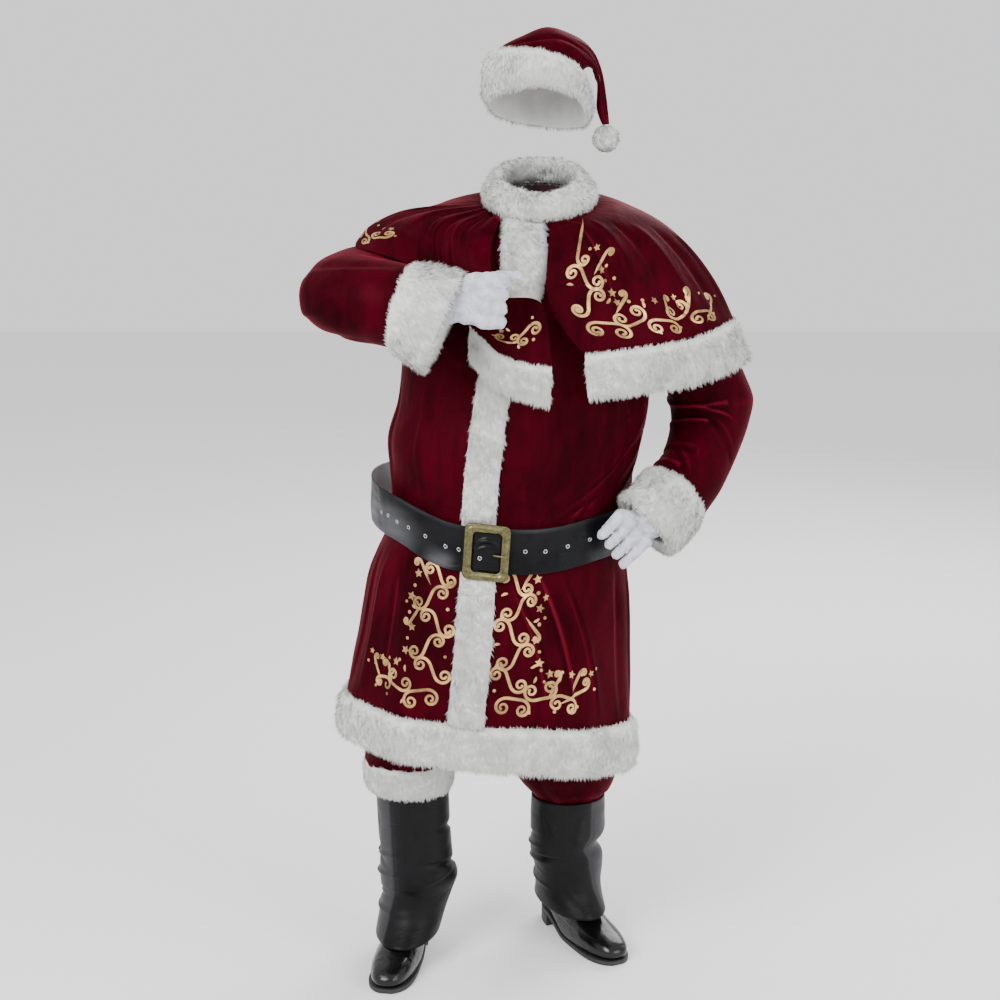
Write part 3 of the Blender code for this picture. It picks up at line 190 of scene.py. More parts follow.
# Trouser legs: height, middle x, middle y, half width, half depth.
RIGHT_LEG = millimetres([
    (790, -185, 0, 92, 125), (640, -222, 0, 100, 110), (520, -252, -5, 100, 98), (470, -260, -5, 90, 92),
])
LEFT_LEG = millimetres([
    (790, 20, 8, 92, 125), (640, 44, 20, 106, 112), (500, 46, 50, 108, 106), (440, 53, 66, 110, 100),
    (415, 61.5, 74, 103, 94), (395, 65.5, 78, 93, 88), (379, 67, 80, 80, 79), (366, 67, 82, 70.5, 70.5),
    (345, 67, 84, 64, 65),
])
# Height, middle x, half width, half depth.
HIPS = millimetres([
    (1040, -55, 230, 195.5), (1000, -55.5, 230, 195.5), (900, -73.5, 231, 190), (790, -82, 206, 172),
])
CROTCH = 0.740
# Height, middle x, middle y, half width, half depth.
KNEE_CUFF = millimetres([
    (487.4, -258, -5, 101.5, 102), (446, -260.5, -4, 95, 96), (412, -260, -2, 93.5, 94),
])

# Boot tops: height, middle x, middle y, half width, half depth.
RIGHT_SHAFT = millimetres([
    (432, -256, -2, 75, 75), (380, -254.5, 10, 74.5, 77), (300, -252, 26, 75, 77), (240, -249, 38, 77, 77),
    (205, -245, 46, 81, 78), (175, -249, 54, 76, 78), (130, -258, 58, 70, 93), (88, -268, 44, 66.8, 119),
])
LEFT_SHAFT = millimetres([
    (369.2, 67, 80, 76.7, 76.7), (320, 67, 94, 78, 77), (275, 66, 108, 77, 76), (248, 59, 116, 69, 74),
    (225, 65, 124, 76, 76), (195, 70, 134, 73, 79), (150, 70, 148, 69, 94), (106, 74, 144, 66, 120),
])
# Shoe upper as rings: back and toe along the foot from the heel, half width, height at the back and at
# the toe.
SHOE = millimetres([
    (4, 298, 50, 0, 0), (0, 305, 53, 10, 10), (1, 302, 53, 20, 22), (4, 285, 49, 36, 34),
    (10, 240, 42, 52, 48), (16, 195, 37, 64, 62), (22, 160, 32, 74, 72),
])
SHOE_POINTS = 20             # points round a ring of the upper
SHOE_SIDE = {                # heel x, heel y, turn of the toe in degrees (towards -X is negative)
    "right": (-0.2560, 0.160, -10.0),
    "left": (0.0300, 0.262, 28.0),
}
FLOOR = 0.020                # the lowest point of the soles
SOLE = 0.009
HEEL = 0.024
COLLAR_HALF_HEIGHT = 0.029
COLLAR_HALF_THICK = 0.0185
COLLAR_LEAN = 0.012          # how far its top leans in
COLLAR_SLOPE = 0.029         # how much lower the neck's edge is in front than at the sides

# ---------------------------------------------------------------- measures of the cloth


def smooth(table, at, column=None):
    """Read a table between its rows with a cubic that follows the rows' own slopes."""
    table = np.asarray(table, float)
    order = np.argsort(table[:, 0])
    keys = table[order, 0]
    values = table[order, 1:] if column is None else table[order, column]
    at = np.clip(np.asarray(at, float), keys[0], keys[-1])
    slopes = np.gradient(values, keys, axis=0)
    row = np.clip(np.searchsorted(keys, at, side="right") - 1, 0, len(keys) - 2)
    step = keys[row + 1] - keys[row]
    t = (at - keys[row]) / step
    if values.ndim > 1:
        t, step = t[..., None], step[..., None]
    return ((2 * t**3 - 3 * t**2 + 1) * values[row] + (t**3 - 2 * t**2 + t) * step * slopes[row]
            + (-2 * t**3 + 3 * t**2) * values[row + 1] + (t**3 - t**2) * step * slopes[row + 1])


def through(rows, count):
    """Resample a stack of rows to `count` rows, evenly along the table."""
    rows = np.asarray(rows, float)
    keys = np.linspace(0.0, 1.0, len(rows))
    table = np.column_stack([keys, rows.reshape(len(rows), -1)])
    return smooth(table, np.linspace(0.0, 1.0, count)).reshape((count,) + rows.shape[1:])


def power(value, exponent):
    """Signed power, for the squarer-than-round rings."""
    return np.sign(value) * np.abs(value) ** exponent


def unit(vectors):
    """Vectors of length one."""
    return vectors / np.maximum(np.linalg.norm(vectors, axis=-1, keepdims=True), 1e-9)


def turns(count):
    """Angles evenly round a ring, from 0."""
    return np.linspace(0.0, 2 * math.pi, count, endpoint=False)


def swell(share, low, exponent=0.45):
    """How full a padded section is: `low` at both of its edges, one in the middle."""
    return low + (1 - low) * np.sin(np.pi * share) ** exponent


def ramp(value, low, high):
    """Zero below `low`, one above `high`, and a smooth step between them."""
    share = np.clip((np.asarray(value, float) - low) / (high - low), 0.0, 1.0)
    return share * share * (3 - 2 * share)


def steps(grid, closed=False, ring=False):
    """The vectors down and along a grid: central differences, wrapped across if closed, down if a ring."""
    return [(np.roll(grid, -1, axis) - np.roll(grid, 1, axis)) / 2 if wrapped
            else np.gradient(grid, axis=axis) for axis, wrapped in ((0, ring), (1, closed))]


def normals(grid, closed=False):
    """Outward normals of a grid: the cross product of its two steps, turned away from each row's middle."""
    out = unit(np.cross(*steps(grid, closed)))
    away = grid - grid.mean(axis=1, keepdims=True)
    return out if np.sum(out * away) > 0 else -out


def ripple(points, size, seed, waves=14):
    """Smooth noise from -1 to 1: the mean of sine waves of about one length in random directions."""
    rng = np.random.default_rng(seed)
    ways = unit(rng.normal(size=(waves, 3))) * rng.uniform(0.6, 1.7, size=(waves, 1)) * (2 * math.pi / size)
    phase = rng.uniform(0.0, 2 * math.pi, size=waves)
    return np.sin(points @ ways.T + phase).sum(axis=-1) / math.sqrt(waves / 2) / 1.6


def lengths(grid):
    """Metres along the rows and down the columns of a grid, summed from its first row and column."""
    along = np.linalg.norm(np.diff(grid, axis=1), axis=-1)
    down = np.linalg.norm(np.diff(grid, axis=0), axis=-1)
    across = np.concatenate([np.zeros((len(grid), 1)), np.cumsum(along, axis=1)], axis=1)
    fallen = np.concatenate([np.zeros((1, grid.shape[1])), np.cumsum(down, axis=0)], axis=0)
    return across, fallen


def sample(grid, rows, columns, closed=False):
    """Read a grid between its points: the weighted mean of the four round each place."""
    count_r, count_c = grid.shape[:2]
    r0 = np.clip(np.floor(rows).astype(int), 0, count_r - 2)
    c0 = np.floor(columns).astype(int)
    c0 = c0 % count_c if closed else np.clip(c0, 0, count_c - 2)
    c1 = (c0 + 1) % count_c
    u = (rows - r0)[..., None]
    v = (columns - np.floor(columns))[..., None] if closed else (columns - c0)[..., None]
    return ((1 - u) * (1 - v) * grid[r0, c0] + (1 - u) * v * grid[r0, c1]
            + u * (1 - v) * grid[r0 + 1, c0] + u * v * grid[r0 + 1, c1])


def press(grid, creases, closed=False):
    """Push a grid in or out by soft creases.

    Each crease runs between two places, in per cent across and down the piece, and has a half width, a rise
    and a bow in millimetres. Its section is a bell, steeper on one side, and it fades at both ends.
    """
    rows, columns = grid.shape[:2]
    across, fallen = lengths(grid)
    wide = across[:, -1].max() * (columns / (columns - 1) if closed else 1.0)
    long = fallen[-1].max()
    s = np.linspace(0.0, 1.0, columns, endpoint=not closed)[None, :] * wide
    t = np.linspace(0.0, 1.0, rows)[:, None] * long
    rise = np.zeros((rows, columns))
    for s0, t0, s1, t1, half, lift, bow in np.array(creases) / CREASE_UNITS:
        run = np.array([(s1 - s0) * wide, (t1 - t0) * long])
        size = max(math.hypot(*run), 1e-6)
        ds = s - s0 * wide
        if closed:
            ds = (ds + wide / 2) % wide - wide / 2
        dt = t - t0 * long
        share = (ds * run[0] + dt * run[1]) / size**2
        off = (ds * run[1] - dt * run[0]) / size - bow * np.sin(np.pi * np.clip(share, 0.0, 1.0))
        spread = half * (1.0 + 0.45 * np.tanh(off / half)) * (0.75 + 0.5 * np.clip(share, 0.0, 1.0))
        ends = ramp(share, -0.12, 0.22) * ramp(1.0 - share, -0.12, 0.30)
        rise += lift * np.exp(-(off / spread) ** 2) * ends
    return grid + normals(grid, closed) * rise[..., None]


def crests(grid, closed=False):
    """How far each point is a ridge (1) or a valley (0) of small folds, by the bending; 0.5 is flat."""
    away = normals(grid, closed)
    shape = grid if not closed else np.concatenate([grid[:, -1:], grid, grid[:, :1]], axis=1)
    bend = np.zeros(grid.shape[:2])
    for axis in (0, 1):
        line = np.moveaxis(shape, axis, 0)
        span = np.linalg.norm(line[2:] - line[:-2], axis=-1, keepdims=True) / 2
        second = (2 * line[1:-1] - line[2:] - line[:-2]) / np.maximum(span, 1e-4) ** 2
        second = np.moveaxis(second, 0, axis)
        if axis == 0:
            second = second[:, 1:-1] if closed else second
            bend[1:-1] += (second * away[1:-1]).sum(axis=-1)
        elif closed:
            bend += (second * away).sum(axis=-1)
        else:
            bend[:, 1:-1] += (second * away[:, 1:-1]).sum(axis=-1)
    if not outward(grid, closed):
        bend = -bend
    soft = bend.copy()
    soft[1:-1] = (bend[:-2] + 2 * bend[1:-1] + bend[2:]) / 4
    soft[:, 1:-1] = (soft[:, :-2] + 2 * soft[:, 1:-1] + soft[:, 2:]) / 4
    return 0.5 + 0.5 * np.tanh((soft - CREST_FLAT) / CREST_BEND)


def place(points):
    """From heights above the floor to the suit's own frame."""
    return np.asarray(points, float) - np.array([0.0, 0.0, NECK_HEIGHT])


# ---------------------------------------------------------------- meshes


def grid_quads(rows, columns, closed, start=0, flip=False, ring=False):
    """Quads over a grid of points, wrapped across when it is closed and down when it is a ring."""
    r, c = np.meshgrid(np.arange(rows if ring else rows - 1), np.arange(columns if closed else columns - 1),
                       indexing="ij")
    here, below = r * columns, (r + 1) % rows * columns
    d = (c + 1) % columns
    quads = np.stack([here + c, here + d, below + d, below + c], axis=-1).reshape(-1, 4)
    return (quads[:, ::-1] if flip else quads) + start


def slab_quads(rows, columns, closed):
    """Quads over the two faces of a slab, one grid after the other, and over the rims between them."""
    count = rows * columns
    quads = [grid_quads(rows, columns, closed), grid_quads(rows, columns, closed, start=count, flip=True)]
    c, r = np.arange(columns if closed else columns - 1), np.arange(rows - 1)
    rims = [(row * columns + c, row * columns + (c + 1) % columns, row == 0) for row in (0, rows - 1)]
    if not closed:
        rims += [(r * columns + edge, (r + 1) * columns + edge, edge > 0) for edge in (0, columns - 1)]
    for first, second, turned in rims:
        rim = np.stack([first, second, count + second, count + first], axis=-1)
        quads.append(rim[:, ::-1] if turned else rim)
    return np.concatenate(quads)


def outward(grid, closed, ring=False, away=None):
    """True when a grid's own quads face away from its rows' middles, or the way that is given."""
    down, along = steps(grid, closed, ring)
    away = grid - grid.mean(axis=1, keepdims=True) if away is None else away
    return np.sum(np.cross(along, down) * away) > 0


def linked(name, data):
    """A new object in the scene round its data."""
    item = bpy.data.objects.new(name, data)
    bpy.context.scene.collection.objects.link(item)
    return item


def make_mesh(name, points, faces, finishes, uv=None, values=None, heights=True):
    """A named piece from whole arrays: points, faces, finishes, flat measures and values of its points."""
    mesh = bpy.data.meshes.new(name)
    mesh.from_pydata(place(points) if heights else np.asarray(points, float), [], np.asarray(faces))
    mesh.update()
    mesh.shade_smooth()
    if uv is not None:
        layer = mesh.uv_layers.new(name="cut")
        corners = np.empty(len(mesh.loops), dtype=np.int64)
        mesh.loops.foreach_get("vertex_index", corners)
        layer.uv.foreach_set("vector", np.ascontiguousarray(uv[corners], dtype=np.float32).ravel())
    for label, numbers in (values or {}).items():
        mesh.attributes.new(label, "FLOAT", "POINT").data.foreach_set(
            "value", np.ascontiguousarray(numbers, dtype=np.float32))
    for finish in finishes:
        mesh.materials.append(finish)
    return linked(name, mesh)


def belongs(item, slot, *nodes):
    """The piece rides on the suit and stands for its solids, which it hides; the slot is not used."""
    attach(item, "root")
    if nodes:
        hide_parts(*nodes)
    return item


def add_wall(item, thick, back=0):
    """Give an open sheet a wall on its inner side; `back` says which of its finishes that side takes."""
    wall = item.modifiers.new("wall", "SOLIDIFY")
    wall.thickness = thick
    wall.offset = -1.0
    wall.material_offset = back


def shell(name, grid, wall, outside, inside, slot, nodes, closed=False, values=None):
    """An open sheet from a grid, with a wall on its inner side and its own plain back."""
    uv = np.stack(lengths(grid), axis=-1).reshape(-1, 2)
    faces = grid_quads(*grid.shape[:2], closed, flip=not outward(grid, closed))
    item = make_mesh(name, grid.reshape(-1, 3), faces, [outside, inside], uv, values)
    add_wall(item, wall, 1)
    return belongs(item, slot, *nodes)


def shut(grid, closed, ring=False):
    """A grid with its first column and row carried round to its last."""
    grid = np.concatenate([grid, grid[:, :1]], axis=1) if closed else grid
    return np.concatenate([grid, grid[:1]]) if ring else grid


def cells(grid):
    """The area of each cell of a grid."""
    return np.linalg.norm(np.cross(np.diff(grid, axis=0)[:, :-1], np.diff(grid, axis=1)[:-1]), axis=-1)


def velvet_piece(name, grid, node, closed=False, wall=VELVET,
                 nap=1.0):
    """A velvet panel in the place of its solid."""
    # These values of the folds paint a pink highlight on their ridges and shade in their valleys; nap scales
    # how strongly.
    item = shell(name, grid, wall, finish("velvet"), finish("velvet_back"), "velvet", [node], closed,
                 {"painted_fold_light": 0.5 + nap * (crests(grid, closed).ravel() - 0.5)})
    return item


def crown(rows, columns, closed, low=0.35):
    """How full the pile is over a slab: low at its cut edges, one in the middle."""
    fill = swell(np.linspace(0.0, 1.0, rows), low)
    if closed:
        return np.repeat(fill[:, None], columns, axis=1)
    return np.minimum(fill[:, None], swell(np.linspace(0.0, 1.0, columns), low)[None, :])


def tufts(root, away, lay, size, seed, spread=0.13):
    """Locks of pile: each is one fine blade that faces out, rooted under the skin and leaning with the lay.

    A lock's way is the normal, plus the lay, plus a little soft noise that gathers neighbours into clumps.
    Its points keep most of the skin's own normal, so that the pile takes the light as one soft surface.
    """
    rng = np.random.default_rng(seed)
    count = len(root)
    side = unit(np.cross(away, lay))
    lay = unit(lay - np.sum(lay * away, axis=-1, keepdims=True) * away)
    swirl, clump, sway = (ripple(root, length, seed + number)[:, None]
                          for number, length in ((1, 0.045), (2, 0.012), (3, 0.035)))
    way = unit(away * (0.46 + 0.10 * clump) + lay * (0.78 + 0.16 * swirl)
               + side * (0.24 * sway + 0.12 * clump) + spread * rng.normal(size=(count, 3)))
    reach = size * rng.uniform(0.60, 1.25, size=(count, 1)) * (1.0 + 0.20 * clump)
    first = unit(np.cross(way, away))
    second = np.cross(first, way)
    turn = rng.uniform(-0.9, 0.9, size=(count, 1))
    wide = LOCK_WIDTH * rng.uniform(0.75, 1.25, size=(count, 1))
    half = wide * (np.cos(turn) * first + np.sin(turn) * second)
    base = root - away * size * LOCK_ROOT
    points = np.stack([base + half, base - half, base + way * (reach + size * LOCK_ROOT)], axis=1)
    facing = unit(np.stack([away + BLADE_ROUND * half, away - BLADE_ROUND * half, away + 0.30 * way], axis=1))
    faces = (np.arange(count) * 3)[:, None] + np.array([[0, 1, 2]])
    inward = np.sum(np.cross(points[:, 1] - points[:, 0], points[:, 2] - points[:, 0]) * away, axis=-1) < 0
    faces[inward] = faces[inward][:, ::-1]
    return points.reshape(-1, 3), faces, np.tile([0.0, 0.0, 1.0], count), facing.reshape(-1, 3)


def scatter(grid, count, rng):
    """Places spread evenly over a grid, as rows and columns: a cell drawn by its area, and a place in it."""
    room = cells(grid)
    pick = np.searchsorted(np.cumsum(room), rng.uniform(0.0, room.sum(), size=count))
    pick = np.minimum(pick, room.size - 1)
    return pick // room.shape[1] + rng.uniform(size=count), pick % room.shape[1] + rng.uniform(size=count)


def fur_piece(name, inner, outer, node, locks, closed=False, ring=False, lay=(0.0, 0.0, -1.0), length=1.0,
              seed=1, body=0.74, flat=False, fringe=True):
    """A fur body between two grids, clad in locks. Its own skin is the outer grid, a little lower and lumpy.

    The settings scale the number of locks and their length. A fringe turns the locks at the edge where the
    lay starts, so that they reach over the cloth beside it.
    """
    rng = np.random.default_rng(seed)
    look = settings().fur
    locks, size = int(locks * look.share), look.lock * length
    rows, columns = inner.shape[:2]
    away = unit(outer - inner + 1e-9)
    lumps = 0.0018 * ripple(outer, 0.040, seed + 5) + 0.0006 * ripple(outer, 0.012, seed + 6)
    skin = inner + (outer - inner) * body + away * (lumps * (0.25 if flat else 1.0))[..., None]
    out = normals(skin, closed)
    if ring:
        out = unit(np.cross(*steps(skin, closed, ring)))
        out = out if np.sum(out * away) > 0 else -out
    whole, whole_out = shut(skin, closed, ring), shut(out, closed, ring)
    r, c = scatter(whole, locks, rng)
    root, up = sample(whole, r, c), unit(sample(whole_out, r, c))
    across_lay = np.broadcast_to(np.asarray(lay, float), root.shape) if np.ndim(lay) == 1 else lay(root, up)
    if fringe and not ring:
        onward = np.sum((skin[-1].mean(axis=0) - skin[0].mean(axis=0)) * across_lay.mean(axis=0)) > 0
        from_edge = (r if onward else rows - 1 - r) / (rows - 1)
        turned = (from_edge < rng.uniform(0.0, FRINGE_REACH, size=locks))[:, None]
        across_lay = np.where(turned, -across_lay, across_lay)
        size = np.where(turned, FRINGE_SHARE * size, size)
    spikes, spike_faces, tips, facing = tufts(root, up, across_lay, size, seed + 9)
    if ring:
        points, quads = skin.reshape(-1, 3), grid_quads(rows, columns, closed, ring=True)
    else:
        points = np.concatenate([skin.reshape(-1, 3), inner.reshape(-1, 3)])
        quads = slab_quads(rows, columns, closed)
    if not outward(skin, closed, ring, away if ring else None):
        quads = quads[:, ::-1]
    faces = np.concatenate([quads[:, [0, 1, 2]], quads[:, [0, 2, 3]], spike_faces + len(points)])
    # Low tip values at the skin and the locks' roots are painted darker as shade in the fur finish.
    values = {"tip": np.concatenate([np.full(len(points), 0.35), tips])}
    item = make_mesh(name, np.concatenate([points, spikes]), faces, [finish("fur")], values=values)
    item.data.normals_split_custom_set_from_vertices(np.concatenate([np.zeros_like(points), facing]))
    return belongs(item, "fur", node)


# ---------------------------------------------------------------- settings

COLOUR = {"subtype": "COLOR", "size": 3, "min": 0.0, "max": 1.0}
LENGTH = {"subtype": "DISTANCE", "unit": "LENGTH"}


class VelvetSettings(bpy.types.PropertyGroup):
    """The burgundy velvet of the coat, capelet, hat and trousers."""
    deep: bpy.props.FloatVectorProperty(
        name="Deep nap", description="Colour where the nap lies away from the light",
        default=(0.019, 0.0, 0.0018), **COLOUR)
    bright: bpy.props.FloatVectorProperty(
        name="Bright nap", description="Colour where the nap stands towards the light",
        default=(0.048, 0.0, 0.0044), **COLOUR)
    sheen: bpy.props.FloatProperty(
        name="Sheen", description="How strongly the nap lights up at its folds", subtype="FACTOR",
        min=0.0, max=1.0, default=0.19)


class FurSettings(bpy.types.PropertyGroup):
    """The off-white plush of every trimmed edge."""
    tone: bpy.props.FloatVectorProperty(
        name="Pile colour", description="Colour at the tips of the pile",
        default=(0.67, 0.675, 0.65), **COLOUR)
    lock: bpy.props.FloatProperty(
        name="Lock length", description="How far a lock of pile stands off its skin",
        min=0.002, max=0.02, default=0.0100, **LENGTH)
    share: bpy.props.FloatProperty(
        name="Fullness", description="Share of the locks that are made", subtype="FACTOR",
        min=0.1, max=1.2, default=1.0)


class LeatherSettings(bpy.types.PropertyGroup):
    """The black belt, boot tops and shoes."""
    black: bpy.props.FloatVectorProperty(
        name="Leather colour", description="Colour of the black hide",
        default=(0.0042, 0.0042, 0.0048), **COLOUR)
    eyelet: bpy.props.FloatProperty(
        name="Eyelet width", description="Outer width of the belt's silver eyelets",
        min=0.004, max=0.02, default=0.0088, **LENGTH)


class TrimSettings(bpy.types.PropertyGroup):
    """The foil print and the buckle."""
    foil: bpy.props.FloatVectorProperty(
        name="Foil colour", description="Colour of the pressed gold foil",
        default=(0.50, 0.30, 0.12), **COLOUR)
    brass: bpy.props.FloatVectorProperty(
        name="Buckle colour", description="Colour of the aged brass",
        default=(0.118, 0.104, 0.046), **COLOUR)


class StudioSettings(bpy.types.PropertyGroup):
    """The pale floor, the soft light and the view."""
    paper: bpy.props.FloatVectorProperty(
        name="Floor colour", description="Colour of the pale floor",
        default=(0.86, 0.86, 0.86), **COLOUR)
    key: bpy.props.FloatProperty(
        name="Key light", description="Power of the large light in front, in watts", min=0.0, max=2000.0,
        default=270.0)
    lens: bpy.props.FloatProperty(
        name="Lens", description="Focal length of the view, in millimetres", min=20.0, max=200.0,
        default=75.384)


class SuitSettings(bpy.types.PropertyGroup):
    """Everything that a maker would change."""
    velvet: bpy.props.PointerProperty(type=VelvetSettings, name="Velvet", description="Velvet of the suit")
    fur: bpy.props.PointerProperty(type=FurSettings, name="Fur", description="Fur of the suit")
    leather: bpy.props.PointerProperty(type=LeatherSettings, name="Leather", description="Belt and boots")
    trim: bpy.props.PointerProperty(type=TrimSettings, name="Trim", description="Foil and metal")
    studio: bpy.props.PointerProperty(type=StudioSettings, name="Studio", description="Floor, light and view")


def settings():
    """The suit's settings in this scene."""
    return bpy.context.scene.santa_suit


# ---------------------------------------------------------------- finishes


def new_finish(name, colour, rough, **sockets):
    """A material with its shader's own constants set; returns its tree and shader too."""
    material = bpy.data.materials.new(name)
    material.use_nodes = True
    tree = material.node_tree
    shader = tree.nodes["Principled BSDF"]
    shader.inputs["Base Color"].default_value = (*colour, 1.0)
    shader.inputs["Roughness"].default_value = rough
    for label, number in sockets.items():
        socket = shader.inputs[label.replace("_", " ")]
        socket.default_value = (*number, 1.0) if isinstance(number, tuple) else number
    material.diffuse_color = (*colour, 1.0)
    return material, tree, shader


def texture(tree, kind, scale, stretch=(1.0, 1.0, 1.0), **sockets):
    """The values of a noise, voronoi or wave texture on the piece's own measures, stretched by a mapping."""
    coords = tree.nodes.new("ShaderNodeTexCoord")
    mapping = tree.nodes.new("ShaderNodeMapping")
    mapping.inputs["Scale"].default_value = stretch
    tree.links.new(coords.outputs["Object"], mapping.inputs["Vector"])
    node = tree.nodes.new("ShaderNodeTex" + kind)
    node.inputs["Scale"].default_value = scale
    for label, number in sockets.items():
        if label in node.inputs:
            node.inputs[label].default_value = number
        else:
            setattr(node, label, number)
    tree.links.new(mapping.outputs["Vector"], node.inputs["Vector"])
    return node.outputs["Distance" if kind == "Voronoi" else "Fac"]


def painted(tree, name):
    """The values that the piece's own points hold under a name."""
    node = tree.nodes.new("ShaderNodeAttribute")
    node.attribute_name = name
    return node.outputs["Fac"]


def grey(value):
    """A colour without a hue."""
    return (value, value, value)


def tinted(colour, share):
    """A colour made darker or brighter, channel by channel or all alike."""
    return tuple(v * k for v, k in zip(colour, share if isinstance(share, tuple) else grey(share)))


def ramped(tree, source, *stops):
    """A colour ramp over a texture; stops are place and colour."""
    node = tree.nodes.new("ShaderNodeValToRGB")
    elements = node.color_ramp.elements
    while len(elements) < len(stops):
        elements.new(0.5)
    for element, (place_on, colour) in zip(elements, stops):
        element.position = place_on
        element.color = (*colour, 1.0)
    tree.links.new(source, node.inputs["Fac"])
    return node.outputs["Color"]


def mixed(tree, share, first, second, how="MIX"):
    """Two colours mixed by a share; each is an output, a colour or a number."""
    node = tree.nodes.new("ShaderNodeMix")
    node.data_type = "RGBA"
    node.blend_type = how
    for socket, value in ((node.inputs[0], share), (node.inputs[6], first), (node.inputs[7], second)):
        if hasattr(value, "node"):
            tree.links.new(value, socket)
        elif isinstance(value, tuple):
            socket.default_value = (*value, 1.0)
        else:
            socket.default_value = value
    return node.outputs[2]


def ranged(tree, source, low, high, new_low, new_high):
    """A number carried from one range to another."""
    node = tree.nodes.new("ShaderNodeMapRange")
    for label, number in (("From Min", low), ("From Max", high), ("To Min", new_low), ("To Max", new_high)):
        node.inputs[label].default_value = number
    tree.links.new(source, node.inputs["Value"])
    return node.outputs["Result"]


def set_colour(tree, shader, source, *stops):
    """Give a shader its colour: an output, or a ramp over a texture when there are stops."""
    tree.links.new(ramped(tree, source, *stops) if stops else source, shader.inputs["Base Color"])


def set_rough(tree, shader, source, low, high):
    """Let a texture vary a shader's roughness; `low` is where the texture is low."""
    tree.links.new(ranged(tree, source, 0.3, 0.7, low, high), shader.inputs["Roughness"])


def bumps(tree, shader, *layers):
    """Bump layers, one over the other: source, strength and depth in metres."""
    before = None
    for source, strength, depth in layers:
        node = tree.nodes.new("ShaderNodeBump")
        node.inputs["Strength"].default_value = strength
        node.inputs["Distance"].default_value = depth
        tree.links.new(source, node.inputs["Height"])
        if before is not None:
            tree.links.new(before, node.inputs["Normal"])
        before = node.outputs["Normal"]
    tree.links.new(before, shader.inputs["Normal"])


def simple_finish(name, colour, rough, kind, scale, facts, stops, depth=0.0, strength=0.4, gloss=(),
                  **sockets):
    """A finish whose colour, bumps and roughness all follow one texture."""
    material, tree, shader = new_finish(name, colour, rough, **sockets)
    source = texture(tree, kind, scale, **facts)
    set_colour(tree, shader, source, *stops)
    if gloss:
        set_rough(tree, shader, source, *gloss)
    if depth:
        bumps(tree, shader, (source, strength, depth))
    return material


def velvet_finish():
    """Crushed velvet: patches of nap, fine streaks of it down the cloth, the shader's pink sheen, and a
    painted pink highlight on the folds' ridges with painted shade in their valleys.
    """
    look = settings().velvet
    deep, bright = tuple(look.deep), tuple(look.bright)
    halfway = tuple(0.5 * (a + b) for a, b in zip(deep, bright))
    material, tree, shader = new_finish("velvet", deep, 0.60, Sheen_Weight=look.sheen, Sheen_Roughness=0.30,
                                        Sheen_Tint=(1.0, 0.04, 0.12), Specular_IOR_Level=0.02)
    patches = texture(tree, "Noise", 9.0, (1.0, 1.0, 0.55), Detail=5.0, Roughness=0.62, Distortion=0.6)
    streaks = texture(tree, "Noise", 46.0, (1.0, 1.0, 0.22), Detail=4.0, Roughness=0.6, Distortion=0.3)
    nap = texture(tree, "Noise", 900.0, Detail=2.0, Roughness=0.7)
    crush = texture(tree, "Noise", 24.0, (1.0, 1.0, 0.45), Detail=3.0, Roughness=0.5, Distortion=0.9)
    # Painted light from the folds: valleys darkened as painted shade, ridges mixed towards a painted pink
    # highlight.
    painted_fold_light = painted(tree, "painted_fold_light")
    colour = ramped(tree, patches, (0.34, deep), (0.50, halfway), (0.70, bright))
    for source, low, high in ((streaks, (0.30, grey(0.72)), (0.72, grey(1.18))),
                              (nap, (0.25, grey(0.78)), (0.75, grey(1.16))),
                              (painted_fold_light, (0.05, grey(0.40)), (0.45, grey(1.0)))):
        colour = mixed(tree, 1.0, colour, ramped(tree, source, low, high), "MULTIPLY")
    ridge = ranged(tree, painted_fold_light, 0.56, 1.0, 0.0, 0.55)
    set_colour(tree, shader, mixed(tree, ridge, colour, (0.235, 0.010, 0.030)))
    set_rough(tree, shader, patches, 0.70, 0.52)
    bumps(tree, shader, (crush, 0.55, 0.0030), (streaks, 0.35, 0.0012), (nap, 0.35, 0.0004))
    return material


def velvet_back_finish():
    """The plain knit side of the velvet."""
    return simple_finish("velvet_back", (0.10, 0.006, 0.014), 0.85, "Wave", 260.0,
                         {"Distortion": 1.5, "Detail": 2.0},
                         ((0.2, (0.070, 0.004, 0.010)), (0.8, (0.125, 0.008, 0.018))), 0.0006,
                         Sheen_Weight=0.15)


def fur_finish():
    """Off-white plush: painted shade at the roots and on the skin between the locks, clean at the tips, with
    soft uneven patches.
    """
    tone = tuple(settings().fur.tone)
    material, tree, shader = new_finish("plush", tone, 0.90, Sheen_Weight=0.35, Sheen_Roughness=0.5,
                                        Specular_IOR_Level=0.15)
    # Painted shade: the low tip values of the roots and the skin are darkened.
    depth = ramped(tree, painted(tree, "tip"), (0.0, tinted(tone, (0.86, 0.855, 0.84))), (0.75, tone))
    patches = texture(tree, "Noise", 13.0, Detail=4.0, Roughness=0.6)
    shade = ramped(tree, patches, (0.34, (0.74, 0.745, 0.745)), (0.62, grey(1.0)))
    set_colour(tree, shader, mixed(tree, 1.0, depth, shade, "MULTIPLY"))
    return material


def glove_finish():
    """White jersey: fine ribs of knit over soft rumples, its colour darker in the rumples' hollows as painted
    shade.
    """
    material, tree, shader = new_finish("glove_knit", (0.83, 0.83, 0.88), 0.78, Sheen_Weight=0.3,
                                        Specular_IOR_Level=0.25)
    ribs = texture(tree, "Wave", 330.0, Distortion=2.0, Detail=2.0)
    rumple = texture(tree, "Noise", 60.0, Detail=3.0, Roughness=0.55, Distortion=0.5)
    # The colour follows the rumples: lower places are painted darker as shade.
    set_colour(tree, shader, rumple, (0.30, (0.34, 0.345, 0.40)), (0.62, (0.53, 0.53, 0.59)))
    bumps(tree, shader, (rumple, 0.55, 0.0022), (ribs, 0.25, 0.0004))
    return material


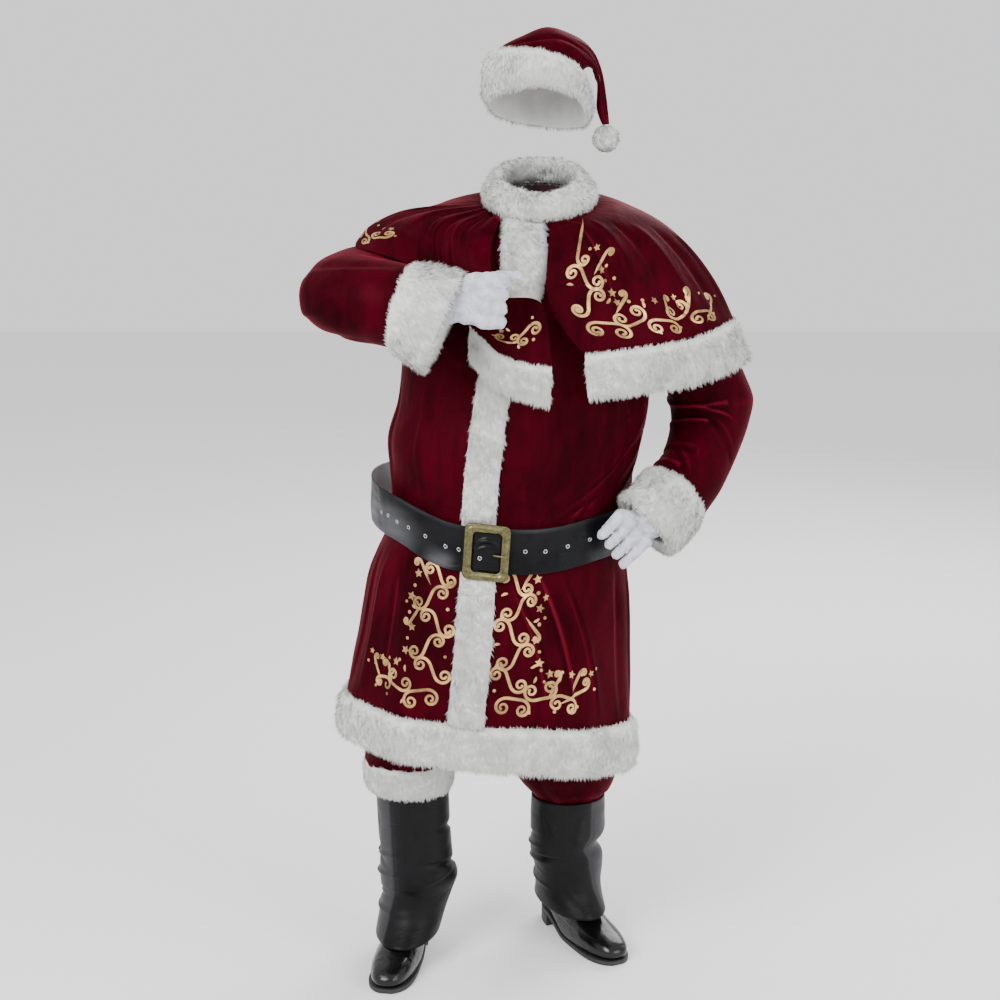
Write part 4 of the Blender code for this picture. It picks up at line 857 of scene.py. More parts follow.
def leather_finish(name, rough, crease, coat=0.0, lift=1.0, shine=0.12, panel_and_highlight_grey=0.020, fold_depth=0.0100):
    """Black hide: fine pebbled grain, long soft creases, and a shine that varies with handling; where the
    points' pale value is high it turns a lighter grey, which is the boots' lighter panel and the belt's
    painted highlight.
    """
    black = tinted(settings().leather.black, lift)
    material, tree, shader = new_finish(name, black, rough, Specular_IOR_Level=shine, Coat_Weight=coat,
                                        Coat_Roughness=0.16)
    worn = texture(tree, "Noise", 17.0, Detail=4.0, Roughness=0.6)
    pebble = texture(tree, "Voronoi", 620.0, feature="SMOOTH_F1")
    fold = texture(tree, "Noise", crease, (1.0, 1.0, 2.2), Detail=5.0, Roughness=0.55, Distortion=1.1)
    hide = ramped(tree, worn, (0.30, tinted(black, 0.7)), (0.75, tinted(black, 1.8)))
    # The pale value mixes the hide towards a lighter grey: a real lighter panel on the boot tops, a painted
    # highlight on the belt.
    panel_and_painted_highlight = tinted(grey(panel_and_highlight_grey), (1.0, 1.0, 1.08))
    set_colour(tree, shader, mixed(tree, painted(tree, "pale"), hide, panel_and_painted_highlight))
    set_rough(tree, shader, worn, rough - 0.08, rough + 0.12)
    bumps(tree, shader, (fold, 0.62, fold_depth), (pebble, 0.22, 0.0004))
    return material


def belt_back_finish():
    """The pale woven back of the belt."""
    return simple_finish("belt_back", (0.62, 0.63, 0.66), 0.8, "Wave", 240.0,
                         {"Distortion": 0.8, "Detail": 2.0},
                         ((0.2, (0.50, 0.51, 0.54)), (0.8, (0.70, 0.71, 0.74))), 0.0005)


def sole_finish():
    """Dull black rubber with a fine tooth."""
    return simple_finish("rubber", grey(0.013), 0.62, "Noise", 240.0, {"Detail": 3.0, "Roughness": 0.6},
                         ((0.3, grey(0.008)), (0.7, (0.022, 0.022, 0.021))), 0.0006)


def brass_finish():
    """Aged brass: dark in its patches, brighter where it is rubbed."""
    brass = tuple(settings().trim.brass)
    return simple_finish("aged_brass", brass, 0.36, "Noise", 120.0, {"Detail": 5.0, "Roughness": 0.65},
                         ((0.30, tinted(brass, 0.45)), (0.52, brass), (0.74, tinted(brass, 1.7))),
                         0.0006, 0.35, gloss=(0.52, 0.30), Metallic=0.85)


def silver_finish():
    """Polished nickel with fine scratches."""
    return simple_finish("eyelet_nickel", (0.42, 0.43, 0.44), 0.30, "Noise", 700.0, {"Detail": 3.0},
                         ((0.3, (0.28, 0.29, 0.30)), (0.7, (0.50, 0.51, 0.52))), gloss=(0.16, 0.36),
                         Metallic=1.0)


def floor_finish():
    """Pale paper with a faint tooth."""
    paper = tuple(settings().studio.paper)
    return simple_finish("studio_paper", paper, 0.85, "Noise", 60.0, {"Detail": 3.0},
                         ((0.3, tinted(paper, 0.985)), (0.7, paper)))


def foil_finish():
    """Pressed foil: pale gold, crazed and thinner where the nap shows through."""
    foil_colour = tuple(settings().trim.foil)
    material, tree, shader = new_finish("gold_foil", foil_colour, 0.34, Metallic=0.75)
    worn = texture(tree, "Noise", 130.0, Detail=5.0, Roughness=0.7)
    light = texture(tree, "Noise", 26.0, Detail=2.0)
    shade = ramped(tree, light, (0.32, tinted(foil_colour, 0.46)), (0.68, tinted(foil_colour, 1.5)))
    crazed = ramped(tree, worn, (0.30, (0.45, 0.20, 0.16)), (0.44, grey(1.0)))
    set_colour(tree, shader, mixed(tree, 1.0, shade, crazed, "MULTIPLY"))
    set_rough(tree, shader, worn, 0.50, 0.26)
    bumps(tree, shader, (worn, 0.35, 0.0005))
    return material


FINISHES = {
    "velvet": velvet_finish,
    "velvet_back": velvet_back_finish,
    "fur": fur_finish,
    "glove": glove_finish,
    "boot": lambda: leather_finish("boot_leather", 0.44, 9.0, lift=0.8, panel_and_highlight_grey=0.030, fold_depth=0.0050),
    "shoe": lambda: leather_finish("shoe_leather", 0.22, 15.0, coat=0.45, lift=0.7),
    # The belt's pale grey is the colour of its painted highlight.
    "belt": lambda: leather_finish("belt_leather", 0.30, 9.0, coat=0.09, shine=0.05, panel_and_highlight_grey=0.17,
                                   fold_depth=0.0060),
    "belt_back": belt_back_finish,
    "sole": sole_finish,
    "brass": brass_finish,
    "silver": silver_finish,
    "foil": foil_finish,
    "floor": floor_finish,
}
MADE = {}


def finish(name):
    """Each finish is made once."""
    if name not in MADE:
        MADE[name] = FINISHES[name]()
    return MADE[name]


# ---------------------------------------------------------------- the coat


def coat_drop(theta, height):
    """The hem hangs lower at the wearer's left and higher at the right, and the neck is lower in front."""
    share = np.clip((1.0 - height) / 0.45, 0.0, 1.0) ** 1.5
    neck = np.clip((height - 1.50) / 0.10, 0.0, 1.0)
    sideways = np.sin(theta)
    hem = HEM_DROP_LEFT * ((1 + sideways) / 2) ** 3 - HEM_RISE_RIGHT * ((1 - sideways) / 2) ** 3
    return hem * share + NECK_DROP * neck * (1 + np.cos(theta)) / 2


def coat_folds(theta, height):
    """Soft vertical folds of the skirt, shallow in front and deeper at the back, none at the belt."""
    share = np.clip((0.93 - height) / 0.30, 0.0, 1.0)
    back = 0.5 - 0.5 * np.cos(theta)
    return share * (0.004 + 0.006 * back) * np.cos(9 * theta + 1.2 * np.sin(2 * theta))


def coat(theta, height, out=0.0):
    """A point of the coat: a squared ellipse at each height, plus its folds; theta is 0 in front."""
    theta, height = np.broadcast_arrays(np.asarray(theta, float), np.asarray(height, float))
    middle, half_width, half_depth = np.moveaxis(smooth(COAT, height), -1, 0)
    folds = coat_folds(theta, height)
    x = middle + (half_width + out) * power(np.sin(theta), COAT_SQUARENESS) + folds * np.sin(theta)
    y = -(half_depth + out) * power(np.cos(theta), COAT_SQUARENESS) - folds * np.cos(theta)
    return np.stack([x, y, height - coat_drop(theta, height)], axis=-1)


def opening_angle(height):
    """Where round the body the front opening is at each height."""
    height = np.asarray(height, float)
    middle, half_width, _ = np.moveaxis(smooth(COAT, height), -1, 0)
    ratio = np.clip((smooth(OPENING, height, 1) - middle) / half_width, -0.95, 0.95)
    return np.arcsin(power(ratio, 1 / COAT_SQUARENESS))


def armhole_reach(height):
    """How far from the side the armhole cuts a panel back at each height."""
    inside = 1 - ((np.asarray(height, float) - ARMHOLE_HEIGHT) / ARMHOLE_HALF) ** 2
    return ARMHOLE_REACH * np.sqrt(np.clip(inside, 0.0, 1.0))


def coat_heights(below):
    """Close rows from the neck to the hem's seam, closest where the armhole turns."""
    turn = np.cos(np.linspace(0.0, math.pi, 26))
    return np.concatenate([
        np.linspace(1.600, ARMHOLE_HEIGHT + ARMHOLE_HALF, 12)[:-1], ARMHOLE_HEIGHT + ARMHOLE_HALF * turn,
        np.linspace(ARMHOLE_HEIGHT - ARMHOLE_HALF, HEM_TOP + SEAM, below)[1:]])


COAT_PANELS = {              # first edge, last edge, columns, rows below the armhole
    "coat_front_right": (lambda z: armhole_reach(z) - QUARTER, opening_angle, 92, 110),
    "coat_front_left": (opening_angle, lambda z: QUARTER - armhole_reach(z), 118, 140),
    "coat_back": (lambda z: QUARTER + armhole_reach(z), lambda z: 3 * QUARTER - armhole_reach(z), 112, 100),
}
# Creases of each panel: from across, down, to across, down, in per cent; half width, rise and bow, in
# millimetres.
COAT_CREASES = {
    "coat_front_left": [
        (80, 31, 36, 35.5, 3.8, 1.6, 4), (84, 34, 34, 51.5, 4.4, 2.8, 10), (90, 37, 54, 51, 5, 3.4, 16),
        (88, 40, 40, 53.5, 4.2, -2.8, 16), (92, 43, 46, 56, 4.8, 3.2, 12), (66, 44, 25, 55.5, 4.2, 2.4, 10),
        (95, 46, 56, 58, 5, -3.8, 10), (74, 48.5, 40, 56, 4.2, 2.2, 6), (97, 49, 66, 59, 5, 3.8, 6),
        (50, 50, 33, 58.5, 4.6, 2.2, 4), (27, 53, 20, 59, 4.4, 1.8, 2), (16, 54, 13, 60, 5, 1.8, 0),
        (98, 36, 60, 42, 10, -4, 12), (60, 26, 72, 40, 16, -3, 0), (12, 66.5, 33, 97, 8.5, 5.6, 12),
        (24, 66.5, 46, 99, 11, -6.6, 10), (36, 67, 60, 98.5, 8, 3.8, 8), (72, 68, 78, 99, 16, -4.8, -6),
        (90, 68, 92, 99, 16, 4.2, 0),
    ],
    "coat_front_right": [
        (6, 30, 20, 52, 16, -3.6, 10), (55, 33, 66, 58, 20, 3, -10), (30, 54.5, 36, 60, 7, -2.2, 0),
        (5, 69, 3, 99, 13, 4.2, 0), (20, 68, 16, 99, 13, -5, 6), (33, 68, 30, 99, 12, 3.4, 0),
        (50, 69, 47, 98, 13, -3.4, 4), (74, 69, 72, 97, 12, 2.4, 0),
    ],
    "coat_back": [
        (6, 34, 34, 52, 14, -5, 14), (94, 33, 70, 50, 13, -4.8, -12), (12, 44, 40, 60, 12, 4.4, 10),
        (88, 46, 62, 60, 12, 4.2, -10), (30, 22, 46, 40, 16, -3.6, 10), (72, 24, 56, 44, 15, -3.4, -8),
        (48, 46, 52, 61, 10, -4, 4), (24, 54, 28, 61, 8, -3.8, 0), (78, 53, 75, 61, 8, -4, 0),
        (14, 69, 12, 99, 15, -6, 6), (31, 68, 33, 99, 13, 5.6, -4), (44, 70, 42, 99, 15, -6.4, 6),
        (60, 69, 62, 98, 14, 5.2, 4), (73, 68, 72, 99, 15, -6, -6), (88, 69, 90, 99, 13, 5.4, 0),
    ],
}


def coat_panel(node):
    """A panel as a grid: theta runs evenly between its two edges at each height, pressed by its creases."""
    first, last, columns, below = COAT_PANELS[node]
    heights = coat_heights(below)
    gap = SEAM / smooth(COAT, heights)[:, 1]
    start, end = first(heights) + gap, last(heights) - gap
    share = np.linspace(0.0, 1.0, columns)[None, :]
    grid = coat(start[:, None] + share * (end - start)[:, None], heights[:, None])
    return press(grid, COAT_CREASES[node])


PLACKET_STRETCHES = {        # top, bottom, locks
    "coat_placket_upper": (1.598, 1.0300, 17000),
    "coat_placket_belted": (1.0291, 0.8800, 4500),
    "coat_placket_lower": (0.8791, HEM_TOP + 0.002, 9000),
}
PLACKET_BODY = 0.031         # half the width of the strip without its locks
PLACKET_FLARE = 0.30         # how much wider the strip spreads under the collar
PLACKET_COLUMNS = 15
PLACKET_ROW = 0.006          # metres from row to row
PLACKET_LIFT = 0.0012        # how far the strip lies off the coat
BELT_HEIGHT = 0.960          # where the belt crosses the strip


def placket_pile(height):
    """How thick the strip's pile is at each height: pressed flat under the belt, and full away from it."""
    off_belt = ramp(np.abs(height - BELT_HEIGHT), 0.046, 0.080)
    return FLAT_PILE * 0.7 + (PILE * 0.88 - FLAT_PILE) * off_belt


def placket(node):
    """The fur strip down the opening: an even width each side of the opening's angle."""
    top, bottom, locks = PLACKET_STRETCHES[node]
    heights = np.linspace(top, bottom, max(4, int((top - bottom) / PLACKET_ROW)))
    spread = PLACKET_BODY / smooth(COAT, heights)[:, 1]
    share = np.linspace(-1.0, 1.0, PLACKET_COLUMNS)[None, :]
    wider = 1.0 + PLACKET_FLARE * ramp(heights, 1.40, 1.50)[:, None] * (0.35 + 0.65 * (share + 1.0) / 2)
    theta = opening_angle(heights)[:, None] + share * wider * spread[:, None]
    base = coat(theta, heights[:, None])
    away = normals(base)
    inner = base + away * PLACKET_LIFT
    full = placket_pile(heights)[:, None] * swell(np.linspace(0.0, 1.0, PLACKET_COLUMNS), 0.35)
    return fur_piece(node + "_pile", inner, inner + away * full[..., None], node, locks,
                     length=0.62 if "belted" in node else 0.92, seed=len(node), fringe=False)


def hem_fur():
    """The fur band round the bottom of the coat: the coat's own rings, carried on below the velvet."""
    around = math.pi + turns(250)
    heights = np.linspace(HEM_TOP - SEAM, HEM_TOP - HEM_DEPTH + 0.009, 15)
    base = coat(around[None, :], heights[:, None])
    away = normals(base, closed=True)
    inner = base - away * VELVET
    outer = inner + away * (PILE * 1.15 * crown(*inner.shape[:2], True))[..., None]
    return fur_piece("coat_hem_fur_pile", inner, outer, "coat_hem_fur", 50000, closed=True, length=1.1,
                     seed=21)


class SUIT_OT_coat(bpy.types.Operator):
    """Make the coat: two fronts, the back, the fur down its opening and the fur round its hem"""
    bl_idname = "suit.coat"
    bl_label = "Coat"

    def execute(self, context):
        strips = [placket(node) for node in PLACKET_STRETCHES]
        hem = hem_fur()
        for node in COAT_PANELS:
            velvet_piece(node + "_velvet", coat_panel(node), node)
        return {"FINISHED"}


# ---------------------------------------------------------------- sleeves and cuffs


def arm_rings(label, count, grow=0.0):
    """Rings round an arm, square to its run: ellipses through the two points that each of its rows tells."""
    side, rows, points = ARMS[label]
    outer, inner = (rows[:, columns] for columns in points)
    middle = (outer + inner) / 2
    across = unit(inner - outer) * (np.linalg.norm(inner - outer, axis=-1, keepdims=True) / 2 + grow)
    other = unit(np.cross(np.gradient(middle, axis=0), across)) * (rows[:, 5:6] + grow)
    first, second = (other, across) if side < 0 else (-across, -other)
    turn = turns(count)[None, :, None]
    return middle[:, None] + np.cos(turn) * first[:, None] + np.sin(turn) * second[:, None]


def armhole_ring(side, count, off):
    """The edge of the armhole, moved out along the arm so that the sleeve stands clear of it."""
    turn = turns(count)
    height = ARMHOLE_HEIGHT + (ARMHOLE_HALF - 0.001) * np.cos(turn)
    theta = side * (QUARTER - ARMHOLE_REACH * np.sin(turn))
    ring = coat(theta, height)
    ring[:, 0] += side * off
    return ring


ARMS = {                     # side, rows, and the columns of x, y and height of a row's two points
    "right": (-1, RIGHT_ARM, ([0, 1, 4], [2, 3, 4])),
    "left": (1, LEFT_ARM, ([0, 4, 1], [2, 4, 3])),
}
SLEEVE_ROWS = 96
SLEEVE_ROUND = 104
CUFF_ROUND = 110
CUFF_CLOSED = 0.30           # how far the cuff's pile fills its inside, as a share of the pile
# How the mouth rolls in: width and step of each outer ring, and its share of the inner ring's way.
CUFF_ROLL = (
    (0.965, 0.0045, 0.1), (0.90, 0.0055, 0.3), (0.82, 0.0035, 0.55), (0.74, 0.0, 0.8), (0.67, -0.004, 1.0),
)
# Creases of each sleeve: round and along; round starts at the top of the arm and turns to its front.
SLEEVE_CREASES = {
    "right": [
        (5, 18, 22, 50, 12.5, -4.3, 10), (8, 30, 30, 62, 11.2, 3.6, 12), (2, 36, 16, 70, 10, -4, 10),
        (12, 50, 34, 86, 12.5, -3.6, 14), (94, 46, 10, 82, 10, 3.3, 8), (30, 72, 42, 97, 11.2, -5, 4),
        (22, 78, 30, 99, 10, 3, 0), (70, 30, 84, 66, 15, -4, 10), (62, 44, 72, 80, 12.5, 3.5, 0),
        (50, 55, 60, 90, 12.5, -3.6, 10), (85, 62, 95, 96, 11.2, -3.5, 6), (3, 70, 12, 97, 8.8, -3.3, 4),
    ],
    "left": [
        (62, 40, 96, 50, 11.2, -4.3, 14), (70, 46, 8, 55, 10, 4, 12), (66, 52, 98, 62, 10, -4.5, 10),
        (76, 60, 10, 68, 10, 3.6, 6), (58, 60, 90, 75, 10, -4, 10), (80, 76, 12, 86, 11.2, -3.5, 8),
        (30, 36, 12, 50, 12.5, -3.6, 10), (34, 50, 14, 66, 11.2, 3.3, 8), (28, 64, 8, 80, 11.2, -3.7, 6),
        (90, 14, 84, 34, 15, -2.9, 0), (10, 12, 16, 32, 15, -2.9, 0), (50, 52, 50, 66, 12.5, -4.3, 0),
        (84, 86, 20, 95, 8.8, 2.9, 4), (40, 84, 30, 97, 10, -3.2, 0),
    ],
}


def sleeve(label):
    """A sleeve as a grid: from the armhole through the arm's rings to the cuff, pressed by its creases."""
    side = ARMS[label][0]
    rings = arm_rings(label, SLEEVE_ROUND)[:1 - CUFF_RINGS]
    rough = np.concatenate([armhole_ring(side, SLEEVE_ROUND, ARMHOLE_CLEAR[side])[None], rings])
    legs = np.linalg.norm(np.diff(rough.mean(axis=1), axis=0), axis=-1)
    keys = np.concatenate([[0.0], np.cumsum(legs)]) / legs.sum()
    table = np.column_stack([keys, rough.reshape(len(rough), -1)])
    places = np.linspace(0.0, 1.0, SLEEVE_ROWS)
    straight = np.array([np.interp(places, keys, column) for column in table[:, 1:].T]).T
    grid = (0.25 * straight + 0.75 * smooth(table, places)).reshape(SLEEVE_ROWS, SLEEVE_ROUND, 3)
    return press(grid, SLEEVE_CREASES[label], closed=True)


def cuff_fur(label):
    """A thick fur tube that goes on from the sleeve, its mouth rolled in."""
    inner, outer = (through(arm_rings(label, CUFF_ROUND, grow)[-CUFF_RINGS:], 17)
                    for grow in (-VELVET - PILE * CUFF_CLOSED, -VELVET))
    onward = unit((outer[4] - outer[0]).mean(axis=0))
    away = normals(outer, closed=True)
    away[0] = unit(away[0] - (away[0] @ onward)[:, None] * onward)
    outer = outer + away * (PILE * 0.72 * crown(*outer.shape[:2], True, low=0.72))[..., None]
    inner[0] += onward * SEAM * 2
    outer[0] += onward * SEAM * 2
    middle = outer[-1].mean(axis=0)
    rolled = [middle + (outer[-1] - middle) * share + onward * step for share, step, _ in CUFF_ROLL]
    folded = [inner[-1] * (1 - t) + (rolled[-1] - onward * 0.008) * t for _, _, t in CUFF_ROLL]
    outer, inner = np.concatenate([outer, rolled]), np.concatenate([inner, folded])
    return fur_piece("cuff_pile_" + label, inner, outer, "cuff_fur_" + label, 19000, closed=True,
                     lay=0.75 * onward + np.array([0.0, 0.0, -0.55]), seed=31 + ARMS[label][0], body=0.80)


class SUIT_OT_sleeves(bpy.types.Operator):
    """Make both sleeves with their fur cuffs"""
    bl_idname = "suit.sleeves"
    bl_label = "Sleeves and cuffs"

    def execute(self, context):
        for label in ARMS:
            cuff = cuff_fur(label)
            velvet_piece("sleeve_velvet_" + label, sleeve(label), "sleeve_" + label,
                         closed=True)
        return {"FINISHED"}


# ---------------------------------------------------------------- the capelet and collar


def collar_edge(direction, out=0.0):
    """The capelet's neck edge: an ellipse, lower in front and higher behind."""
    direction = np.asarray(direction, float)
    x = (0.100 + out) * np.sin(direction)
    y = -(0.094 + out) * np.cos(direction) + 0.004
    return np.stack([x, y, 1.604 - COLLAR_SLOPE * np.cos(direction)], axis=-1)


def cape_threads(threads, stops):
    """Threads over the shoulder: each is a quadratic curve from the collar, past its shoulder, to its hem."""
    rows = smooth(CAPE, threads)
    start = collar_edge(np.radians(rows[:, 0]))[None]
    t = np.asarray(stops)[:, None, None]
    return (1 - t) ** 2 * start + 2 * t * (1 - t) * rows[None, :, 1:4] + t**2 * rows[None, :, 4:7]


def cape_grid(threads, stops):
    """Threads side by side, pressed into soft folds that deepen towards the hem."""
    grid = cape_threads(threads, stops)
    ends = np.clip((CAPE_LAST - np.asarray(threads)) / 12.0, 0.0, 1.0)
    depth = np.clip(stops, 0.0, 1.0) ** 1.3 * 0.0055
    wave = np.cos(np.radians(threads) * GATHERS + 0.8 * np.sin(np.radians(threads) * 3)) * ends
    return grid + normals(grid) * (depth[:, None] * wave[None, :])[..., None]


FUR_FROM = 0.865             # the share of a thread's way at which the fur starts
FUR_LAST = 252.0             # the last thread that has fur
FRONT_EDGE_CURVES = 0.55     # the share from which the left front's edge curves back
FRONT_CORNER = 14.0          # and the thread that it reaches at the fur
SHOULDER = 90.0              # the thread where the left front meets the back
THREAD_GAP = 0.1
CAPE_CREASES = {
    "cape_front_left": [
        (10, 86, 42, 36, 12, 4.2, -12), (2, 70, 34, 42, 10, -4.5, -10), (30, 28, 33, 92, 15, -7, 6),
        (44, 22, 47, 98, 13, 5, 0), (56, 30, 58, 98, 14, -6.2, 6), (68, 36, 70, 98, 13, 4.8, 0),
        (80, 44, 84, 98, 13, -5.5, 0), (62, 80, 66, 99, 7, -6.5, 0), (20, 6, 36, 20, 12, -3, 4),
        (93, 50, 95, 98, 11, 4, 0),
    ],
    "cape_back": [
        (6, 40, 5, 98, 13, -5.8, 0), (17, 34, 18, 98, 15, 5.5, 4), (28, 30, 27, 98, 15, -6.4, 6),
        (39, 26, 40, 98, 14, 5.2, 0), (50, 24, 51, 98, 16, -6.2, -6), (61, 30, 60, 98, 14, 5.4, 4),
        (71, 34, 73, 98, 14, -5.8, 0), (80, 38, 83, 98, 11, 4.8, 0), (89, 30, 92, 97, 11, -5, 4),
    ],
    "cape_front_right": [
        (66, 6, 56, 92, 16.5, -5.2, 4), (58, 8, 47, 80, 15, 4.2, 6), (50, 5, 38, 62, 15, -4.9, 6),
        (75, 10, 68, 96, 15, 3.7, 0), (42, 6, 30, 44, 13.5, 3.6, 6), (83, 12, 80, 96, 16.5, -4.2, 0),
        (92, 20, 91, 96, 15, 3.2, 0), (34, 4, 22, 34, 13.5, -3.6, 4), (20, 62, 12, 97, 10.5, -3, 4),
        (10, 60, 22, 98, 9, 2.7, 0),
    ],
}


def cape_left_velvet():
    """The left front: near its hem the front edge curves back to the corner."""
    stops = np.linspace(0.0, FUR_FROM, 58)
    share = np.clip((stops - FRONT_EDGE_CURVES) / (FUR_FROM - FRONT_EDGE_CURVES), 0.0, 1.0) ** 2
    rows = [cape_grid(np.linspace(FRONT_CORNER * back, SHOULDER - THREAD_GAP, 92), stops)[row]
            for row, back in enumerate(share)]
    return press(np.array(rows), CAPE_CREASES["cape_front_left"])


def cape_back_velvet():
    """The back of the capelet, from the left shoulder to the raised arm."""
    threads = np.linspace(SHOULDER + THREAD_GAP, CAPE_LAST - 2 * THREAD_GAP, 132)
    return press(cape_grid(threads, np.linspace(0.0, FUR_FROM, 52)), CAPE_CREASES["cape_back"])


def held_threads(count):
    """The held front's own threads and the back's last one, as `count` threads of five stops."""
    last = cape_threads(np.array([CAPE_LAST]), np.linspace(0.0, FUR_FROM, 5))[:, 0]
    return through(np.concatenate([HELD_FRONT, last[None]]), count)


def held_front():
    """The front that the right hand holds: threads from the collar to the fist, gathered between them."""
    grid = through(held_threads(96).transpose(1, 0, 2), 62)
    across = np.linspace(0.0, 1.0, grid.shape[1])
    down = np.linspace(0.0, 1.0, grid.shape[0])
    depth = 0.0016 * np.sin(np.pi * np.clip(down * 1.15, 0, 1))[:, None] * np.sin(np.pi * across)[None, :]
    grid = grid + normals(grid) * (depth * np.cos(2 * np.pi * 6.5 * across)[None, :])[..., None]
    rest = ramp(down, 0.60, 1.0)[:, None] * (0.40 * ramp(across, 0.50, 0.66) * ramp(1.0 - across, 0.02, 0.20)
                                             + 0.60 * np.exp(-((across - 0.64) / 0.07) ** 2))[None, :]
    grid[..., 2] -= 0.0095 * rest
    return press(grid, CAPE_CREASES["cape_front_right"])


def cape_hem(name, grid, node, locks, seed):
    """The fur band that goes on from the edge of the velvet."""
    away = normals(grid)
    inner = grid - away * VELVET
    outer = inner + away * (PILE * 0.8 * crown(*grid.shape[:2], False, low=0.4))[..., None]
    return fur_piece(name, inner, outer, node, locks, seed=seed)


def corner_hem():
    """The fur that hangs from the held corner: its edge carried straight down, a little forward."""
    corner = through(held_threads(21)[:CORNER_THREADS, -1], 26)
    start = corner + np.array([0.0, 0.0, -0.0021])
    depth = np.linspace(0.86, 0.72, len(corner))[:, None]
    drop = np.array([-0.004, -0.004, -CAPE_HEM_DEPTH])
    return np.array([start + t * drop * depth for t in np.linspace(0.0, 1.0, 14)])


def collar_fur():
    """The rolled collar: an ellipse section that leans in, carried round the neck and back into itself."""
    around, section = turns(130)[None, :], turns(34)[:, None]

    def roll(full):
        out = (COLLAR_HALF_THICK * np.cos(section) * full - COLLAR_LEAN * np.sin(section)) + 0.0 * around
        x = (0.0900 + out) * np.sin(around)
        y = 0.004 - (0.0860 + out) * np.cos(around)
        z = 1.6315 - COLLAR_SLOPE * np.cos(around) + COLLAR_HALF_HEIGHT * full * np.sin(section)
        return np.stack([x, y, z + 0.0 * out], axis=-1)

    return fur_piece("collar_pile", roll(0.05), roll(1.0), "collar_fur", 27000, closed=True, ring=True,
                     length=0.9, seed=71, body=0.86)


class SUIT_OT_capelet(bpy.types.Operator):
    """Make the capelet: both fronts and the back with their fur, and the rolled collar"""
    bl_idname = "suit.capelet"
    bl_label = "Capelet and collar"

    def execute(self, context):
        stops = np.linspace(FUR_FROM + 0.002, 1.0, 14)
        left_threads = np.linspace(FRONT_CORNER, SHOULDER - THREAD_GAP, 84)
        back_threads = np.linspace(SHOULDER + THREAD_GAP, FUR_LAST, 120)
        left = cape_hem("cape_left_pile", cape_grid(left_threads, stops), "cape_front_left_fur", 14000, 51)
        back = cape_hem("cape_back_pile", cape_grid(back_threads, stops), "cape_back_fur", 18000, 52)
        corner = cape_hem("cape_corner_pile", corner_hem(), "cape_front_right_fur", 5500, 53)
        rests = [collar_fur()]
        # nap: how strongly each piece's painted fold highlight and valley shade show.
        for name, grid, node, trim, nap in (
                ("cape_left_velvet", cape_left_velvet(), "cape_front_left", left, 0.5),
                ("cape_back_velvet", cape_back_velvet(), "cape_back", back, 0.5),
                ("cape_held_velvet", held_front(), "cape_front_right", corner, 0.35)):
            velvet_piece(name, grid, node, nap=nap)
        return {"FINISHED"}


# ---------------------------------------------------------------- belt and buckle

BELT_HALF = 0.044            # half the belt's width
BELT_WALL = 0.003
BELT_LIFT = 0.0062           # how far it stands off the coat
BELT_CENTRE = np.array([-0.062, 0.0, 0.0])
BELT_HITCH = 0.025           # how much higher the belt sits at the right hip
BELT_HITCH_LEFT = 0.012      # and at the left hip
# Where the eyelets are, in degrees round the body from the front.
EYELETS = (-71.5, -65.0, -57.0, -48.0, -37.0, -26.0, -19.5, 6.5, 15.0, 25.5, 37.5, 50.5, 66.0)


def belt_middle(theta):
    """Height of the belt's middle line: it sags in front, rides up behind and is hitched up at both hips."""
    degrees = np.degrees(theta)
    hitch = BELT_HITCH * ramp(-degrees, 12.0, 58.0) * ramp(180.0 + degrees, 15.0, 85.0)
    hitch = hitch + BELT_HITCH_LEFT * ramp(degrees, 8.0, 46.0) * ramp(180.0 - degrees, 15.0, 85.0)
    return 0.962 + 0.028 * (1 - np.cos(theta + 0.2)) - 0.012 * np.sin(theta) + hitch


def belt_lift(theta):
    """How far the belt stands off the coat: it hangs away at the wearer's right side."""
    return BELT_LIFT + 0.024 * np.exp(-((np.degrees(theta) + 96.0) / 26.0) ** 2)


def belt_face(theta, levels, out=0.0):
    """A point of the belt's inner face: the widest of the coat's rings that it passes, at its own height."""
    theta, levels = np.broadcast_arrays(theta, levels)
    waist = coat(theta, 0.965, belt_lift(theta) + out) - BELT_CENTRE
    height = belt_middle(theta) + levels * BELT_HALF
    here = coat(theta, height, belt_lift(theta) + out) - BELT_CENTRE
    point = np.maximum(np.abs(here), np.abs(waist)) * np.sign(here) + BELT_CENTRE
    point[..., 2] = height
    return point


def belt_section():
    """The belt's section: level and how far out, round its two faces and its rounded edges."""
    edge = np.linspace(0.0, math.pi, 7)
    top = np.stack([1.0 - 0.035 * (1 - np.sin(edge)), 0.5 - 0.5 * np.cos(edge)], axis=-1)
    face = np.linspace(0.94, -0.94, 13)[:, None]
    outer = np.column_stack([face, np.ones(13) + 0.10 * np.sin(np.linspace(0, math.pi, 13))])
    low = np.stack([-1.0 + 0.035 * (1 - np.sin(edge)), 0.5 + 0.5 * np.cos(edge)], axis=-1)
    inner = np.column_stack([-face, np.zeros(13)])
    return np.concatenate([top, outer, low, inner])


def belt_painted_highlight(grid, level, theta):
    """Painted highlight on the belt's hide, from 0 to 1, where it would catch the light: three patches and
    its upper edge.

    Each patch is told in degrees: where it starts and is full, then where it is full and ends.
    """
    degrees = np.degrees(theta)
    patches = (
        (0.34, ramp(degrees, -150.0, -96.0) * ramp(-degrees, 34.0, 62.0) * ramp(0.9 - level, 0.0, 1.1)),
        (0.34, ramp(degrees, -40.0, -28.0) * ramp(-degrees, 18.0, 26.0) * ramp(-level, 0.1, 0.8)),
        (0.60, ramp(degrees, 34.0, 56.0) * ramp(120.0 - degrees, 0.0, 40.0) * ramp(-level, 0.0, 0.8)),
        (0.13, np.exp(-((level - 0.93) / 0.05) ** 2) * (0.6 + 0.4 * np.sin(7 * theta))),
    )
    painted_light = sum(share * patch for share, patch in patches)
    return np.clip(painted_light * (0.84 + 0.34 * ripple(grid * np.array([0.35, 0.35, 2.0]), 0.050, 83)), 0.0, 1.0)


